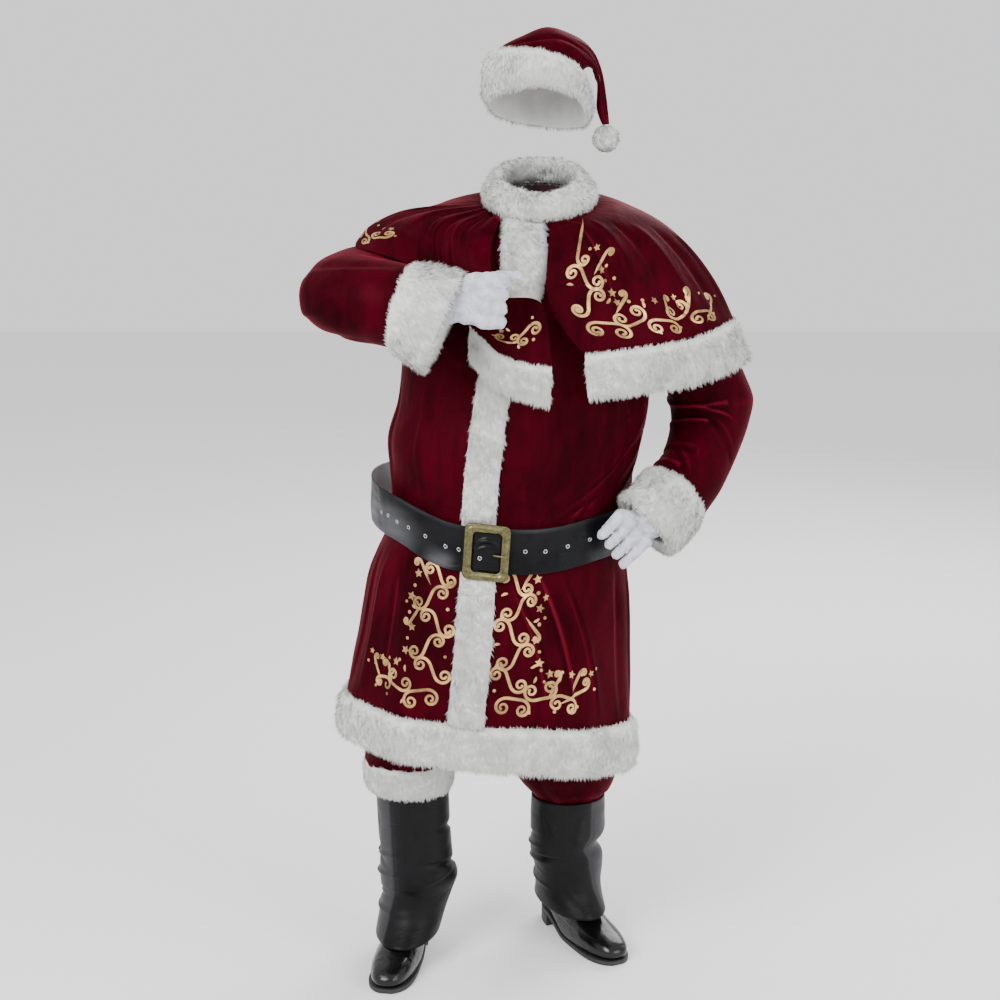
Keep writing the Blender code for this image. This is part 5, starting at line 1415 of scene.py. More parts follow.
def belt():
    """The belt: its section carried round the coat, softly uneven on its outer face."""
    theta = (turns(260) - math.pi)[None, :]
    section = belt_section()
    grid = belt_face(theta, section[:, :1], section[:, 1:] * BELT_WALL)
    out = unit((grid - BELT_CENTRE) * np.array([1.0, 1.0, 0.0]))
    soft = 0.0011 * ripple(grid, 0.085, 81) + 0.0006 * ripple(grid * np.array([1.0, 1.0, 0.5]), 0.030, 82)
    on_face = (section[:, 1] > 0.9)[:, None]
    grid = grid + out * (np.maximum(soft, -0.0006) * on_face)[..., None]
    rows, columns = grid.shape[:2]
    faces = grid_quads(rows, columns, True, ring=True, flip=not outward(grid, True, True, out))
    item = make_mesh("belt_hide", grid.reshape(-1, 3), faces, [finish("belt"), finish("belt_back")],
                     # pale: where the belt's hide is painted lighter as highlight.
                     values={"pale": belt_painted_highlight(grid, section[:, :1], theta).ravel()})
    marks = np.repeat((section[:, 1] < 0.2).astype(np.int32), columns)
    item.data.polygons.foreach_set("material_index", marks[faces].min(axis=1).astype(np.int32))
    return belongs(item, "leather", "belt_strap")


class SUIT_OT_belt(bpy.types.Operator):
    """Make the belt with its eyelets, and the buckle with its prong and the strap folded over its bar"""
    bl_idname = "suit.belt"
    bl_label = "Belt and buckle"

    def execute(self, context):
        belt()
        eyelets()
        buckle_frame()
        buckle_prong()
        strap_end()
        return {"FINISHED"}


def face_frame(theta, level, out):
    """A point of the belt's outer face with its own across, up and out directions."""
    here = belt_face(np.array(theta), np.array(level), out)
    onward = belt_face(np.array(theta + 0.01), np.array(level), out)
    across = unit(onward - here)
    up = np.array([0.0, 0.0, 1.0])
    away = unit(np.cross(across, up))
    return here, across, up, away


def fan(count):
    """Triangles from a middle point, the first, to the points of a ring round it."""
    c = np.arange(count)
    return np.stack([np.zeros(count, int), 1 + c, 1 + (c + 1) % count], axis=-1)


def join(parts):
    """Pieces as one set of points and faces."""
    starts = np.cumsum([0] + [len(points) for points, _ in parts[:-1]])
    return np.concatenate([p for p, _ in parts]), np.concatenate([f + s for (_, f), s in zip(parts, starts)])


def eyelets():
    """Rolled nickel rings: a small round section carried round each hole, with a dark disc of painted shade
    inside.
    """
    turn, bead = turns(18), turns(7)
    radius = settings().leather.eyelet / 2
    places = []
    for number, degrees in enumerate(EYELETS):
        level = 0.10 * ramp(degrees, -20.0, 25.0) - 0.08 + 0.04 * math.sin(2.1 * number)
        places.append(face_frame(math.radians(degrees), level, BELT_WALL * 1.06))
    middle, across, rise, out = buckle_place()
    places.append((middle - across * 0.0125 - rise * 0.0125 - out * 0.0012, across, rise, out))
    rings, shade_discs = [], []
    for here, across, up, away in places:
        round_way = np.cos(turn)[:, None] * across + np.sin(turn)[:, None] * up
        wide, high = radius * (0.76 + 0.24 * np.cos(bead)), radius * 0.22 * (0.6 + np.sin(bead))
        ring = here + round_way[None] * wide[:, None, None] + away * high[:, None, None]
        rings.append((ring.reshape(-1, 3), grid_quads(*ring.shape[:2], True, ring=True)))
        # Each hole is covered by a black disc: painted shade in the hole.
        well = [here[None] + away * 0.0001, here + round_way * radius * 0.62 + away * 0.0004]
        shade_discs.append((np.concatenate(well), fan(len(turn))))
    belongs(tidy_normals(make_mesh("belt_eyelets", *join(rings), [finish("silver")])), "brass")
    belongs(make_mesh("belt_eyelet_painted_shade", *join(shade_discs), [finish("sole")]), "sole")


def tidy_normals(item, weld=0.0):
    """Merge the points that are closer than `weld`, then face every closed piece outward."""
    mesh = bmesh.new()
    mesh.from_mesh(item.data)
    if weld:
        bmesh.ops.remove_doubles(mesh, verts=mesh.verts, dist=weld)
    bmesh.ops.recalc_face_normals(mesh, faces=mesh.faces)
    mesh.to_mesh(item.data)
    mesh.free()
    return item


BUCKLE = {"half_width": 0.044, "half_height": 0.055, "corner": 0.012, "bar": 0.016, "thick": 0.006,
          "tilt": 4.0}
BUCKLE_SECTION = np.array([  # shares of the bar's width and thickness, from the outer edge to the inner
    (0.0, 0.0), (0.0, 0.28), (0.05, 0.56), (0.13, 0.66), (0.22, 0.60), (0.30, 0.74), (0.42, 0.98),
    (0.52, 1.0), (0.62, 0.92), (0.74, 0.62), (0.84, 0.60), (0.93, 0.58), (1.0, 0.34), (1.0, 0.0),
])
PRONG_RADIUS = 0.0026
PRONG_SIDES = 12
STRAP_END_HALF = (0.0268, 0.0375)  # half the width and half the height of what shows of it
STRAP_END_WALL = 0.0008


def buckle_place():
    """The buckle's place: middle, its right, its up and its outward direction."""
    theta = opening_angle(0.965) + 0.08
    point = coat(theta, 0.962, BELT_LIFT + BELT_WALL + 0.0058)
    out = np.array([math.sin(theta), -math.cos(theta), 0.0])
    right = np.array([math.cos(theta), math.sin(theta), 0.0])
    tilt = math.radians(BUCKLE["tilt"])
    up = np.array([0.0, 0.0, 1.0])
    across = right * math.cos(tilt) - up * math.sin(tilt)
    rise = up * math.cos(tilt) + right * math.sin(tilt)
    return point, across, rise, out


def rounded(half_width, half_height, corner, count):
    """A rounded rectangle: straight sides and quarter circles, from its right side anticlockwise."""
    turn = np.linspace(0.0, QUARTER, count)
    parts = []
    for sign_x, sign_y, first in ((1, 1, 0.0), (-1, 1, 0.5), (-1, -1, 1.0), (1, -1, 1.5)):
        angle = turn + first * math.pi
        parts.append(np.stack([sign_x * (half_width - corner) + corner * np.cos(angle),
                               sign_y * (half_height - corner) + corner * np.sin(angle)], axis=-1))
    return np.concatenate(parts)


def buckle_frame():
    """The frame: a ridged section carried round a rounded rectangle."""
    middle, across, rise, out = buckle_place()
    bar, half_width, half_height = BUCKLE["bar"], BUCKLE["half_width"], BUCKLE["half_height"]
    outline = rounded(half_width, half_height, BUCKLE["corner"], 9)
    shrink = np.array([1 - bar / half_width, 1 - bar / half_height])
    share, height = BUCKLE_SECTION.T[..., None, None]
    flat = outline[None] * (1 + share * (shrink - 1))
    grid = middle + flat[..., :1] * across + flat[..., 1:] * rise + out * (height * BUCKLE["thick"])
    faces = grid_quads(*grid.shape[:2], True, ring=True)
    item = make_mesh("buckle_brass", grid.reshape(-1, 3), faces, [finish("brass")])
    belongs(tidy_normals(item), "brass", "buckle_frame")


def buckle_prong():
    """The prong: circles along a line that sinks towards its tip, ever narrower, closed at both ends."""
    middle, across, rise, out = buckle_place()
    along = np.linspace(0.0, 1.0, PRONG_SIDES)[:, None, None]
    turn = turns(PRONG_SIDES)[None, :, None]
    taper = PRONG_RADIUS * (1 - 0.35 * along) * np.where(along > 0.93, 0.6, 1.0)
    line = middle + rise * -0.004 + across * (0.036 - 0.024 * along) + out * (0.0045 - 0.0035 * along**2)
    rod = line + (np.cos(turn) * rise + np.sin(turn) * out) * taper
    ends = np.repeat(rod[[0, -1]].mean(axis=1, keepdims=True), PRONG_SIDES, axis=1)
    rod = np.concatenate([ends[:1], rod, ends[1:]])
    item = make_mesh("buckle_prong", rod.reshape(-1, 3), grid_quads(*rod.shape[:2], True), [finish("brass")])
    belongs(tidy_normals(item, WELD), "brass")


def strap_end():
    """The strap's end inside the frame: a puffed sheet, with a ridge and a trough where it bends."""
    middle, across, rise, out = buckle_place()
    u = np.linspace(-1.0, 1.0, 26)[None, :, None]
    v = np.linspace(1.0, -1.0, 34)[:, None, None]
    arch = np.exp(-(((v - 0.62 + 0.42 * u**2) / 0.11) ** 2)) * 0.0050
    arch = arch - np.exp(-(((v - 0.40 + 0.36 * u**2) / 0.09) ** 2)) * 0.0034
    puff = 0.0024 * (1 - u**2) * (1 - 0.5 * v**2) + arch * (1 - 0.6 * np.abs(u))
    lift = puff - 0.0032 + 0.0006 * ramp(-v, 0.0, 0.9)
    grid = middle + across * u * STRAP_END_HALF[0] + rise * v * STRAP_END_HALF[1] + out * lift
    faces = grid_quads(*grid.shape[:2], False, flip=np.dot(np.cross(across, -rise), out) < 0)
    item = make_mesh("buckle_strap_end", grid.reshape(-1, 3), faces, [finish("belt"), finish("belt_back")])
    add_wall(item, STRAP_END_WALL)
    belongs(item, "leather")


# ---------------------------------------------------------------- hat

HAT_CREASES = [
    (4, 16, 22, 52, 8, -4, 6), (10, 22, 30, 46, 7, 3.2, 0), (95, 20, 80, 50, 8, -4.2, -6),
    (98, 40, 94, 86, 7, -4, 4), (12, 46, 10, 90, 6, 3.4, 0), (30, 30, 40, 80, 7, -3.6, 0),
    (72, 34, 62, 82, 7, -3.6, 0), (22, 52, 20, 92, 5, -3.4, 0), (50, 40, 50, 60, 6, 3, 0),
]


def hat_bag():
    """The bag as rings that lean over to the wearer's left and narrow to its tail."""
    upper_x, upper, lower_x, lower, y, half_depth = through(HAT_BAG, 76).T
    turn = turns(80)[None, :, None]
    none = np.zeros(len(y))
    middle = np.stack([(upper_x + lower_x) / 2, y, (upper + lower) / 2], axis=-1)
    reach = np.stack([(upper_x - lower_x) / 2, none, (upper - lower) / 2], axis=-1)
    depth = np.stack([none, -half_depth, none], axis=-1)
    grid = middle[:, None] + np.cos(turn) * reach[:, None] + np.sin(turn) * depth[:, None]
    return press(grid, HAT_CREASES, closed=True)


def brim_fur():
    """The fur brim: a flared band round the head between its lower and its upper edge."""
    angle = turns(150)
    low, high = np.moveaxis(smooth(BRIM, np.degrees(angle)), -1, 0)
    t = np.linspace(0.0, 1.0, 16)[:, None]
    grids = []
    for out in (0.0, BRIM_PILE * swell(t, 0.35, 0.5)):
        wide = 0.004 * (1 - t) + out
        x = BRIM_MIDDLE[0] + (BRIM_HALF[0] + wide) * np.sin(angle)
        y = BRIM_MIDDLE[1] - (BRIM_HALF[1] + wide) * np.cos(angle)
        grids.append(np.stack([x, y, low + t * (high - low)], axis=-1))
    return fur_piece("hat_brim_pile", *grids, "hat_brim_fur", 18000, closed=True, length=0.9, seed=61,
                     body=0.80)


def pompom():
    """A ball of pile: rings of a sphere, clad in locks that stand straight out."""
    fall, turn = np.meshgrid(np.linspace(0.02, math.pi - 0.02, 26), turns(48), indexing="ij")
    ways = np.stack([np.sin(fall) * np.cos(turn), np.sin(fall) * np.sin(turn), np.cos(fall)], axis=-1)
    inner, outer = (np.array(POMPOM) + ways * radius for radius in (POMPOM_CORE, POMPOM_RADIUS))

    def straight_out(root, up):
        return up + 0.2 * ripple(root, 0.02, 3)[:, None] * np.array([1.0, 0.0, 0.4])

    return fur_piece("hat_pompom_pile", inner, outer, "hat_pompom", 9000, closed=True, lay=straight_out,
                     length=0.44, seed=64, body=0.90, flat=True, fringe=False)


class SUIT_OT_hat(bpy.types.Operator):
    """Make the hat: its velvet bag, its fur brim and its pompom"""
    bl_idname = "suit.hat"
    bl_label = "Hat"

    def execute(self, context):
        brim, ball = brim_fur(), pompom()
        # nap=0.45: the hat's painted fold highlight and valley shade are weaker.
        velvet_piece("hat_bag_velvet", hat_bag(), "hat_bag", closed=True, nap=0.45)
        return {"FINISHED"}


# ---------------------------------------------------------------- gloves

GLOVE_WALL = 0.0015
ROUND = (1.0, 1.0, 1.0)
FIST = [                     # from, to, radius at each end, squash
    ((-0.220, -0.264, 1.424), (-0.150, -0.290, 1.444), 0.028, 0.032),
    ((-0.136, -0.300, 1.448), (-0.108, -0.302, 1.452), 0.033, 0.036, (0.9, 0.62, 1.22)),
    ((-0.122, -0.300, 1.463), (-0.094, -0.301, 1.465), 0.034, 0.032, (0.9, 0.60, 1.20)),
    ((-0.112, -0.288, 1.480), (-0.078, -0.280, 1.492), 0.0145, 0.0125),
    ((-0.078, -0.280, 1.492), (-0.043, -0.284, 1.495), 0.0115, 0.0092),
]
HIP_HAND = [
    ((0.246, -0.142, 1.031), (0.212, -0.157, 1.010), 0.0350, 0.034),
    ((0.205, -0.152, 1.005), (0.180, -0.168, 1.002), 0.031, 0.028, (0.95, 0.70, 1.15)),
]


def fist_limbs():
    """The closed hand: its palm, its thumb and four fingers folded round the cloth."""
    limbs = list(FIST)
    for step in range(4):
        level = 1.491 - 0.0250 * step
        knuckle = (-0.098 - 0.002 * step, -0.316 + 0.002 * step, level)
        middle = (-0.070 - 0.002 * step, -0.308 + 0.002 * step, level - 0.003)
        tip = (-0.078 - 0.003 * step, -0.280 + 0.002 * step, level - 0.003)
        root = (-0.122, -0.304, 1.453 + (level - 1.453) * 0.70)
        limbs += [(root, knuckle, 0.0155, 0.0155), (knuckle, middle, 0.0145, 0.0125),
                  (middle, tip, 0.0130, 0.0120)]
    return limbs


def hip_limbs():
    """The open hand on the hip: its palm and four straight fingers side by side."""
    limbs = list(HIP_HAND)
    for step in range(4):
        knuckle = (0.153 + 0.017 * step, -0.190 + 0.004 * step, 1.030 - 0.0185 * step)
        tip = (0.119 + 0.014 * step, -0.189 + 0.006 * step, 0.991 - 0.0205 * step)
        root = (0.188, -0.166, 1.014 - 0.006 * step)
        limbs += [(root, knuckle, 0.0150, 0.0118), (knuckle, tip, 0.0118, 0.0100)]
    return limbs


def limb(start, end, radius_a, radius_b, squash=ROUND, sides=20):
    """A round-ended limb: circles along its axis whose width follows a rounded cone."""
    start, end = np.array(start), np.array(end)
    axis = end - start
    long = np.linalg.norm(axis)
    way = axis / long
    first = unit(np.cross(way, np.array([0.31, 0.17, 0.93])))
    second = np.cross(way, first)
    lean = np.linspace(0.0, QUARTER, 6)
    back = np.stack([-radius_a * np.cos(lean), radius_a * np.sin(lean)], axis=-1)
    front = np.stack([long + radius_b * np.sin(lean), radius_b * np.cos(lean)], axis=-1)
    profile = np.concatenate([back, front])
    profile[[0, -1], 1] = 0.0002
    turn = turns(sides)[None, :, None]
    off = profile[:, 0][:, None, None] * way + profile[:, 1][:, None, None] * (
        np.cos(turn) * first + np.sin(turn) * second)
    spine = np.clip(profile[:, 0], 0.0, long)[:, None, None] * way
    grid = start + spine + (off - spine) * np.array(squash)
    count = len(profile) * sides
    faces = grid_quads(len(profile), sides, True)
    caps = np.array([np.arange(sides)[::-1], count - sides + np.arange(sides)])
    return grid.reshape(-1, 3), faces, caps


def hand_skin(name, limbs, voxel, rounds):
    """One skin over a hand's limbs: their union in cells of `voxel` metres, smoothed `rounds` times."""
    mesh = bmesh.new()
    for part in limbs:
        points, faces, caps = limb(*part)
        made = [mesh.verts.new(p) for p in place(points)]
        for face in [*faces, *caps]:
            mesh.faces.new([made[i] for i in face])
    bmesh.ops.recalc_face_normals(mesh, faces=mesh.faces)
    data = bpy.data.meshes.new(name)
    mesh.to_mesh(data)
    mesh.free()
    item = linked(name, data)
    skin = item.modifiers.new("skin", "REMESH")
    skin.mode = "VOXEL"
    skin.voxel_size = voxel
    soft = item.modifiers.new("soft", "SMOOTH")
    soft.iterations = rounds
    soft.factor = 0.5
    graph = bpy.context.evaluated_depsgraph_get()
    item.data = bpy.data.meshes.new_from_object(item.evaluated_get(graph))
    item.modifiers.clear()
    return item


def cut_open(data, mouth, mouth_way):
    """Cut a mesh open at its mouth, square to the way that the mouth faces."""
    mesh = bmesh.new()
    mesh.from_mesh(data)
    bmesh.ops.bisect_plane(mesh, geom=[*mesh.verts, *mesh.edges, *mesh.faces], plane_co=tuple(place(mouth)),
                           plane_no=mouth_way, clear_outer=True)
    mesh.to_mesh(data)
    mesh.free()


def rumple(data):
    """Move each point of a mesh along its normal by two sizes of soft noise."""
    at, out = np.empty((2, len(data.vertices) * 3), dtype=np.float32)
    data.vertices.foreach_get("co", at)
    data.vertex_normals.foreach_get("vector", out)
    at, out = at.reshape(-1, 3).astype(float), out.reshape(-1, 3).astype(float)
    rise = 0.0007 * ripple(at, 0.016, 91) + 0.0004 * ripple(at * np.array([1.0, 1.0, 0.45]), 0.007, 92)
    data.vertices.foreach_set("co", (at + out * rise[:, None]).astype(np.float32).ravel())


def glove(name, limbs, node, mouth, mouth_way, voxel, rounds):
    """A knitted glove: the hand's skin, cut open at the wrist and rumpled."""
    item = hand_skin(name, limbs, voxel, rounds)
    data = item.data
    cut_open(data, mouth, mouth_way)
    rumple(data)
    data.materials.clear()
    data.materials.append(finish("glove"))
    data.shade_smooth()
    data.update()
    add_wall(item, GLOVE_WALL)
    belongs(item, "glove", node)


class SUIT_OT_gloves(bpy.types.Operator):
    """Make both knitted gloves: the right closed on the capelet's edge, the left on the hip"""
    bl_idname = "suit.gloves"
    bl_label = "Gloves"

    def execute(self, context):
        glove("glove_knit_right", fist_limbs(), "glove_right", (-0.198, -0.272, 1.431), (-1.0, 0.35, -0.25),
              0.0024, 9)
        glove("glove_knit_left", hip_limbs(), "glove_left", (0.230, -0.140, 1.020), (0.75, 0.45, 0.45),
              0.0022, 2)
        return {"FINISHED"}


# ---------------------------------------------------------------- trousers


def ellipse(theta, middle_x, middle_y, half_width, half_depth):
    """A point of an upright ring."""
    return np.stack([middle_x + half_width * np.sin(theta), middle_y - half_depth * np.cos(theta)], axis=-1)


def trouser_panel(side, front, leg, bottom, rows=86, columns=30):
    """Half a trouser leg: the hips' ring above the crotch, blended into the leg's own ring below it."""
    share = np.linspace(0.0, 1.0, columns)
    grid = []
    for height in np.linspace(1.000, bottom, rows):
        middle, half_width, half_depth = smooth(HIPS, max(height, HIPS[-1, 0]))
        gap = 2 * SEAM / half_width
        start = side * (QUARTER - gap) if front else side * (QUARTER + gap)
        centre = side * gap if front else side * (2 * QUARTER - gap)
        hips = ellipse(start + share * (centre - start), middle, 0.0, half_width, half_depth)
        leg_x, leg_y, leg_width, leg_depth = smooth(leg, min(height, leg[0, 0]))
        gap = 2 * SEAM / leg_width
        start = side * (QUARTER - gap) if front else side * (QUARTER + gap)
        end = side * (gap - QUARTER) if front else side * (3 * QUARTER - gap)
        round_leg = ellipse(start + share * (end - start), leg_x, leg_y, leg_width, leg_depth)
        mix = ramp(-height, -0.86, -CROTCH)
        grid.append(np.column_stack([hips * (1 - mix) + round_leg * mix, np.full(columns, height)]))
    return press(np.array(grid), TROUSER_CREASES)


TROUSER_CREASES = [
    (20, 70, 42, 99, 10, -5, 4), (45, 64, 60, 98, 9, 4.2, 0), (72, 72, 66, 99, 9, -4.8, 0),
    (10, 86, 90, 90, 6, -3.4, 10), (6, 94, 80, 96, 5, 3, 4), (30, 30, 50, 60, 12, -3, 0),
]
TROUSER_LEGS = {"right": (-1, RIGHT_LEG, 0.474), "left": (1, LEFT_LEG, 0.350)}  # side, rings, lowest height
KNEE_PILE = 0.0112
BAND_TOP = 1.034
BAND_WALL = 0.003


def knee_fur():
    """The fur cuff below the right knee: a slab between two rings at each height."""
    heights = np.linspace(KNEE_CUFF[0, 0] - 0.006, KNEE_CUFF[-1, 0] + 0.005, 15)
    around = turns(130)[None, :]
    x, y, w, d = (column[:, None] for column in smooth(KNEE_CUFF, heights).T)
    level = heights[:, None] + 0 * around
    inner, outer = (np.concatenate([ellipse(around, x, y, w - thick, d - thick), level[..., None]], axis=-1)
                    for thick in (KNEE_PILE, 0.0))
    outer = inner + (outer - inner) * crown(*inner.shape[:2], True, low=0.2)[..., None]
    return fur_piece("trouser_cuff_pile", inner, outer, "trouser_cuff_fur_right", 13000, closed=True,
                     length=0.8, seed=41, body=0.72)


def waistband():
    """The gathered band round the hips: rings with a fine ripple."""
    around = turns(96)
    wide = 0.0012 * np.cos(46 * around)
    band = []
    for height in np.linspace(1.0001 + SEAM, BAND_TOP, 8):
        middle, half_width, half_depth = smooth(HIPS, height)
        flat = ellipse(around, middle, 0.0, half_width - 0.0012 + wide, half_depth - 0.0012 + wide)
        band.append(np.column_stack([flat, np.full(len(around), height)]))
    return velvet_piece("trouser_band", np.array(band), "trouser_waistband", closed=True,
                        wall=BAND_WALL)


class SUIT_OT_trousers(bpy.types.Operator):
    """Make the trousers: four panels, the waistband and the fur cuff that shows"""
    bl_idname = "suit.trousers"
    bl_label = "Trousers"

    def execute(self, context):
        waist, knee = waistband(), knee_fur()
        for label, (side, leg, bottom) in TROUSER_LEGS.items():
            for half in ("front", "back"):
                front = half == "front"
                velvet_piece(f"trouser_velvet_{half}_{label}", trouser_panel(side, front, leg, bottom),
                             f"trouser_{half}_{label}")
        return {"FINISHED"}


# ---------------------------------------------------------------- boots

BOOT_CREASES = {
    "right": [
        (89.5, 2, 89.5, 100, 2.6, -2.6, 2), (10, 30, 42, 40, 8, -6, 10), (90, 46, 25, 54, 6, 6.2, 8),
        (2, 52, 36, 62, 6, -7, 8), (92, 60, 16, 68, 5, 5.8, 6), (94, 72, 22, 78, 6, -6.6, 6),
        (2, 66, 20, 58, 5, 5, 4), (80, 20, 74, 55, 10, -4, 0), (60, 45, 86, 55, 9, -4.4, 6),
        (93, 74, 2, 96, 6, -5.2, 4), (40, 30, 62, 36, 9, -3.6, 0), (50, 60, 72, 66, 9, 4, 0),
        (96, 84, 14, 90, 6, 4.6, 4),
    ],
    "left": [
        (10.5, 2, 10.5, 100, 2.6, -2.6, 2), (80, 34, 10, 44, 7, -6.6, 10), (84, 44, 16, 50, 6, 6.4, 8),
        (96, 52, 30, 55, 6, -7.2, 8), (82, 58, 20, 62, 5, 6, 6), (80, 72, 12, 58, 6, -6.6, 10),
        (84, 80, 10, 68, 5, 5, 6), (88, 10, 92, 34, 9, -3.6, 0), (5, 12, 3, 36, 9, 3.2, 0),
        (40, 44, 64, 52, 9, -4.6, 6), (56, 60, 74, 66, 9, 4, 0), (96, 70, 98, 98, 5, 3, 0),
        (44, 16, 52, 34, 10, -3.6, 0),
    ],
}
SHOE_CREASES = [(6, 62, 94, 62, 4, -1.4, 0), (10, 78, 90, 76, 4, -1.6, 0)]
BOOTS = {                    # rings, turn of the foot, and where the lighter outer panel starts and ends
    "right": (RIGHT_SHAFT, -6.0, 255.0, 322.0),
    "left": (LEFT_SHAFT, 22.0, 38.0, 105.0),
}
INSTEP_DIP = 0.004           # how much lower the top's lower edge is over the instep


def boot_top(table, turn, creases):
    """A boot top: rings that turn with the foot lower down, whose edge dips over the instep."""
    around = turns(92)[None, :]
    height = np.linspace(table[0, 0], table[-1, 0], 84)[:, None]
    x, y, half_width, half_depth = np.moveaxis(smooth(table, height[:, 0]), -1, 0)[..., None]
    share = np.clip((0.20 - height) / 0.10, 0.0, 1.0)
    angle = math.radians(turn) * share
    across, ahead = half_width * np.sin(around), half_depth * np.cos(around)
    dip = INSTEP_DIP * share * ((1 + np.cos(around)) / 2) ** 2
    grid = np.stack([x + across * np.cos(angle) + ahead * np.sin(angle),
                     y + across * np.sin(angle) - ahead * np.cos(angle), height - dip], axis=-1)
    return press(grid, creases, closed=True)


def sole_rise(along):
    """How high the sole's underside is above the floor: it rises on to the heel."""
    return HEEL * ramp(0.150 - np.asarray(along, float), 0.0, 0.080)


def shoe_point(side, along, across, up):
    """From the foot's own measures to the suit's."""
    heel_x, heel_y, turn = SHOE_SIDE[side]
    angle = math.radians(turn)
    x = heel_x + along * math.sin(angle) + across * math.cos(angle)
    y = heel_y - along * math.cos(angle) + across * math.sin(angle)
    return np.stack([x, y, FLOOR + up + 0.0 * along], axis=-1)


def shoe_upper(side):
    """The upper as rings that rise from the welt: each an egg, blunter at the toe."""
    around = turns(96)
    ahead = (1 + np.cos(around)) / 2
    rows = []
    for back, toe, half, up_back, up_toe in through(SHOE, 40):
        along = back + (toe - back) * ahead
        across = half * power(np.sin(around), 0.75) * (0.86 + 0.14 * np.cos(around))
        up = SOLE + 2 * SEAM + sole_rise(along) + up_back + (up_toe - up_back) * ahead
        rows.append(shoe_point(side, along, across, up))
    return press(np.array(rows), SHOE_CREASES, closed=True)


def shoe_plate(name, side, stations, low, high):
    """A flat part of the shoe's underside between two heights; round at the heel and the toe."""
    stations = np.interp(np.linspace(0, 1, 44), np.linspace(0, 1, len(stations)), stations)
    share = np.clip((stations - 0.152) / 0.154, -1.0, 1.0)
    width = 0.053 * (1 - np.abs(share) ** 4) ** 0.5 * (0.86 + 0.14 * share)
    across = np.linspace(-1.0, 1.0, 9)[None, :] * width[:, None]
    along = np.repeat(stations[:, None], 9, axis=1)
    points = [shoe_point(side, along, across, level(along)).reshape(-1, 3) for level in (high, low)]
    quads = slab_quads(*along.shape, False)
    item = make_mesh(name + "_rubber", np.concatenate(points), quads, [finish("sole")])
    tidy_normals(item, WELD)
    item.data.shade_flat()
    edge = item.modifiers.new("edge", "BEVEL")
    edge.width = 0.0012
    edge.segments = 2
    edge.limit_method = "ANGLE"
    edge.angle_limit = math.radians(50.0)
    return belongs(item, "sole", name)


def boot(label):
    """A boot top with its lighter panel, and the shoe under it: its upper, its sole and its heel."""
    table, turn, first, last = BOOTS[label]
    grid = boot_top(table, turn, BOOT_CREASES[label])
    around = np.degrees(turns(grid.shape[1]))
    panel = ramp(around, first - 3.0, first) * ramp(last + 3.0 - around, 0.0, 3.0)
    top = shell("boot_hide_" + label, grid, LEATHER, finish("boot"), finish("boot"), "leather",
                ["boot_top_" + label], closed=True, values={"pale": np.tile(panel, len(grid))})
    shell("shoe_hide_" + label, shoe_upper(label), LEATHER, finish("shoe"), finish("boot"), "leather",
          ["shoe_upper_" + label], closed=True)
    stations = 0.004 + 0.294 * (1 - np.cos(np.linspace(0.0, math.pi, SHOE_POINTS // 2 + 1))) / 2
    ground = np.concatenate([[0.000], stations, [0.304]])
    shoe_plate("shoe_sole_" + label, label, ground, sole_rise, lambda a: sole_rise(a) + SOLE)
    shoe_plate("shoe_heel_" + label, label, ground[:5], np.zeros_like, lambda a: sole_rise(a) - 2 * SEAM)


class SUIT_OT_boots(bpy.types.Operator):
    """Make the boot tops and the shoes under them"""
    bl_idname = "suit.boots"
    bl_label = "Boots"

    def execute(self, context):
        for label in BOOTS:
            boot(label)
        return {"FINISHED"}


# ---------------------------------------------------------------- foil print


def ribbon(line, width):
    """A flat ribbon along a line: its points moved both ways along its own normal by half its width."""
    ahead = np.gradient(line, axis=0)
    ahead = ahead / np.maximum(np.linalg.norm(ahead, axis=1, keepdims=True), 1e-12)
    side = np.stack([-ahead[:, 1], ahead[:, 0]], axis=-1) * (width / 2)[:, None]
    count = len(line)
    a = np.arange(count - 1)
    halves = ((a, a + count, a + count + 1), (a, a + count + 1, a + 1))
    faces = np.concatenate([np.stack(corners, axis=-1) for corners in halves])
    return np.concatenate([line + side, line - side]), faces


def spokes(u, v, reach, angle):
    """A flat shape round its middle, with an edge point at each angle."""
    edge = np.stack([u + reach * np.cos(angle), v + reach * np.sin(angle)], axis=-1)
    return np.concatenate([[[u, v]], edge]), fan(len(angle))


def disc(u, v, radius):
    """A dot."""
    return spokes(u, v, radius, turns(14))


def star(u, v, radius, turn):
    """A five-pointed star: its points lie on one circle and its notches on a smaller one."""
    angle = np.radians(turn + 90.0) + np.arange(10) * math.pi / 5
    return spokes(u, v, np.where(np.arange(10) % 2 == 0, radius, radius * 0.50), angle)


def leaf(u, v, heading, long, width=5.4):
    """A leaf: a ribbon along a slightly bent line, whose width is a sine of the way along."""
    s = np.linspace(0.0, 1.0, 12)
    angle = math.radians(heading) + 0.7 * (s - 0.5)
    way = np.stack([np.cos(angle), np.sin(angle)], axis=-1)
    line = np.array([u, v]) + np.cumsum(way, axis=0) * long / 12
    return ribbon(line, width * np.sin(np.pi * (0.04 + 0.92 * s)) ** 0.8)


def scroll(u, v, heading, long, first, last, width=5.4):
    """A scroll about its middle: each end curls by its own angle, tighter and tighter, and ends in a bead."""
    t = np.linspace(-1.0, 1.0, 90)
    bend = np.where(t < 0, -first, last) * np.clip((np.abs(t) - 0.08) / 0.92, 0.0, 1.0) ** 1.30
    angle = np.radians(heading + bend)
    step = 1.25 - 0.75 * np.abs(t) ** 1.5
    step = step * long / step.sum()
    line = np.stack([np.cumsum(np.cos(angle) * step), np.cumsum(np.sin(angle) * step)], axis=-1)
    line = line - line[45] + np.array([u, v])
    wide = width * (0.72 + 0.38 * np.cos(np.pi * t / 2))
    parts = []
    for end, curl in ((0, first), (-1, last)):
        if curl:
            parts.append(disc(*line[end], width * 0.55))
        else:
            wide = wide * np.clip(np.abs(t - t[end]) / 0.5, 0.15, 1.0)
    return join([ribbon(line, wide)] + parts)


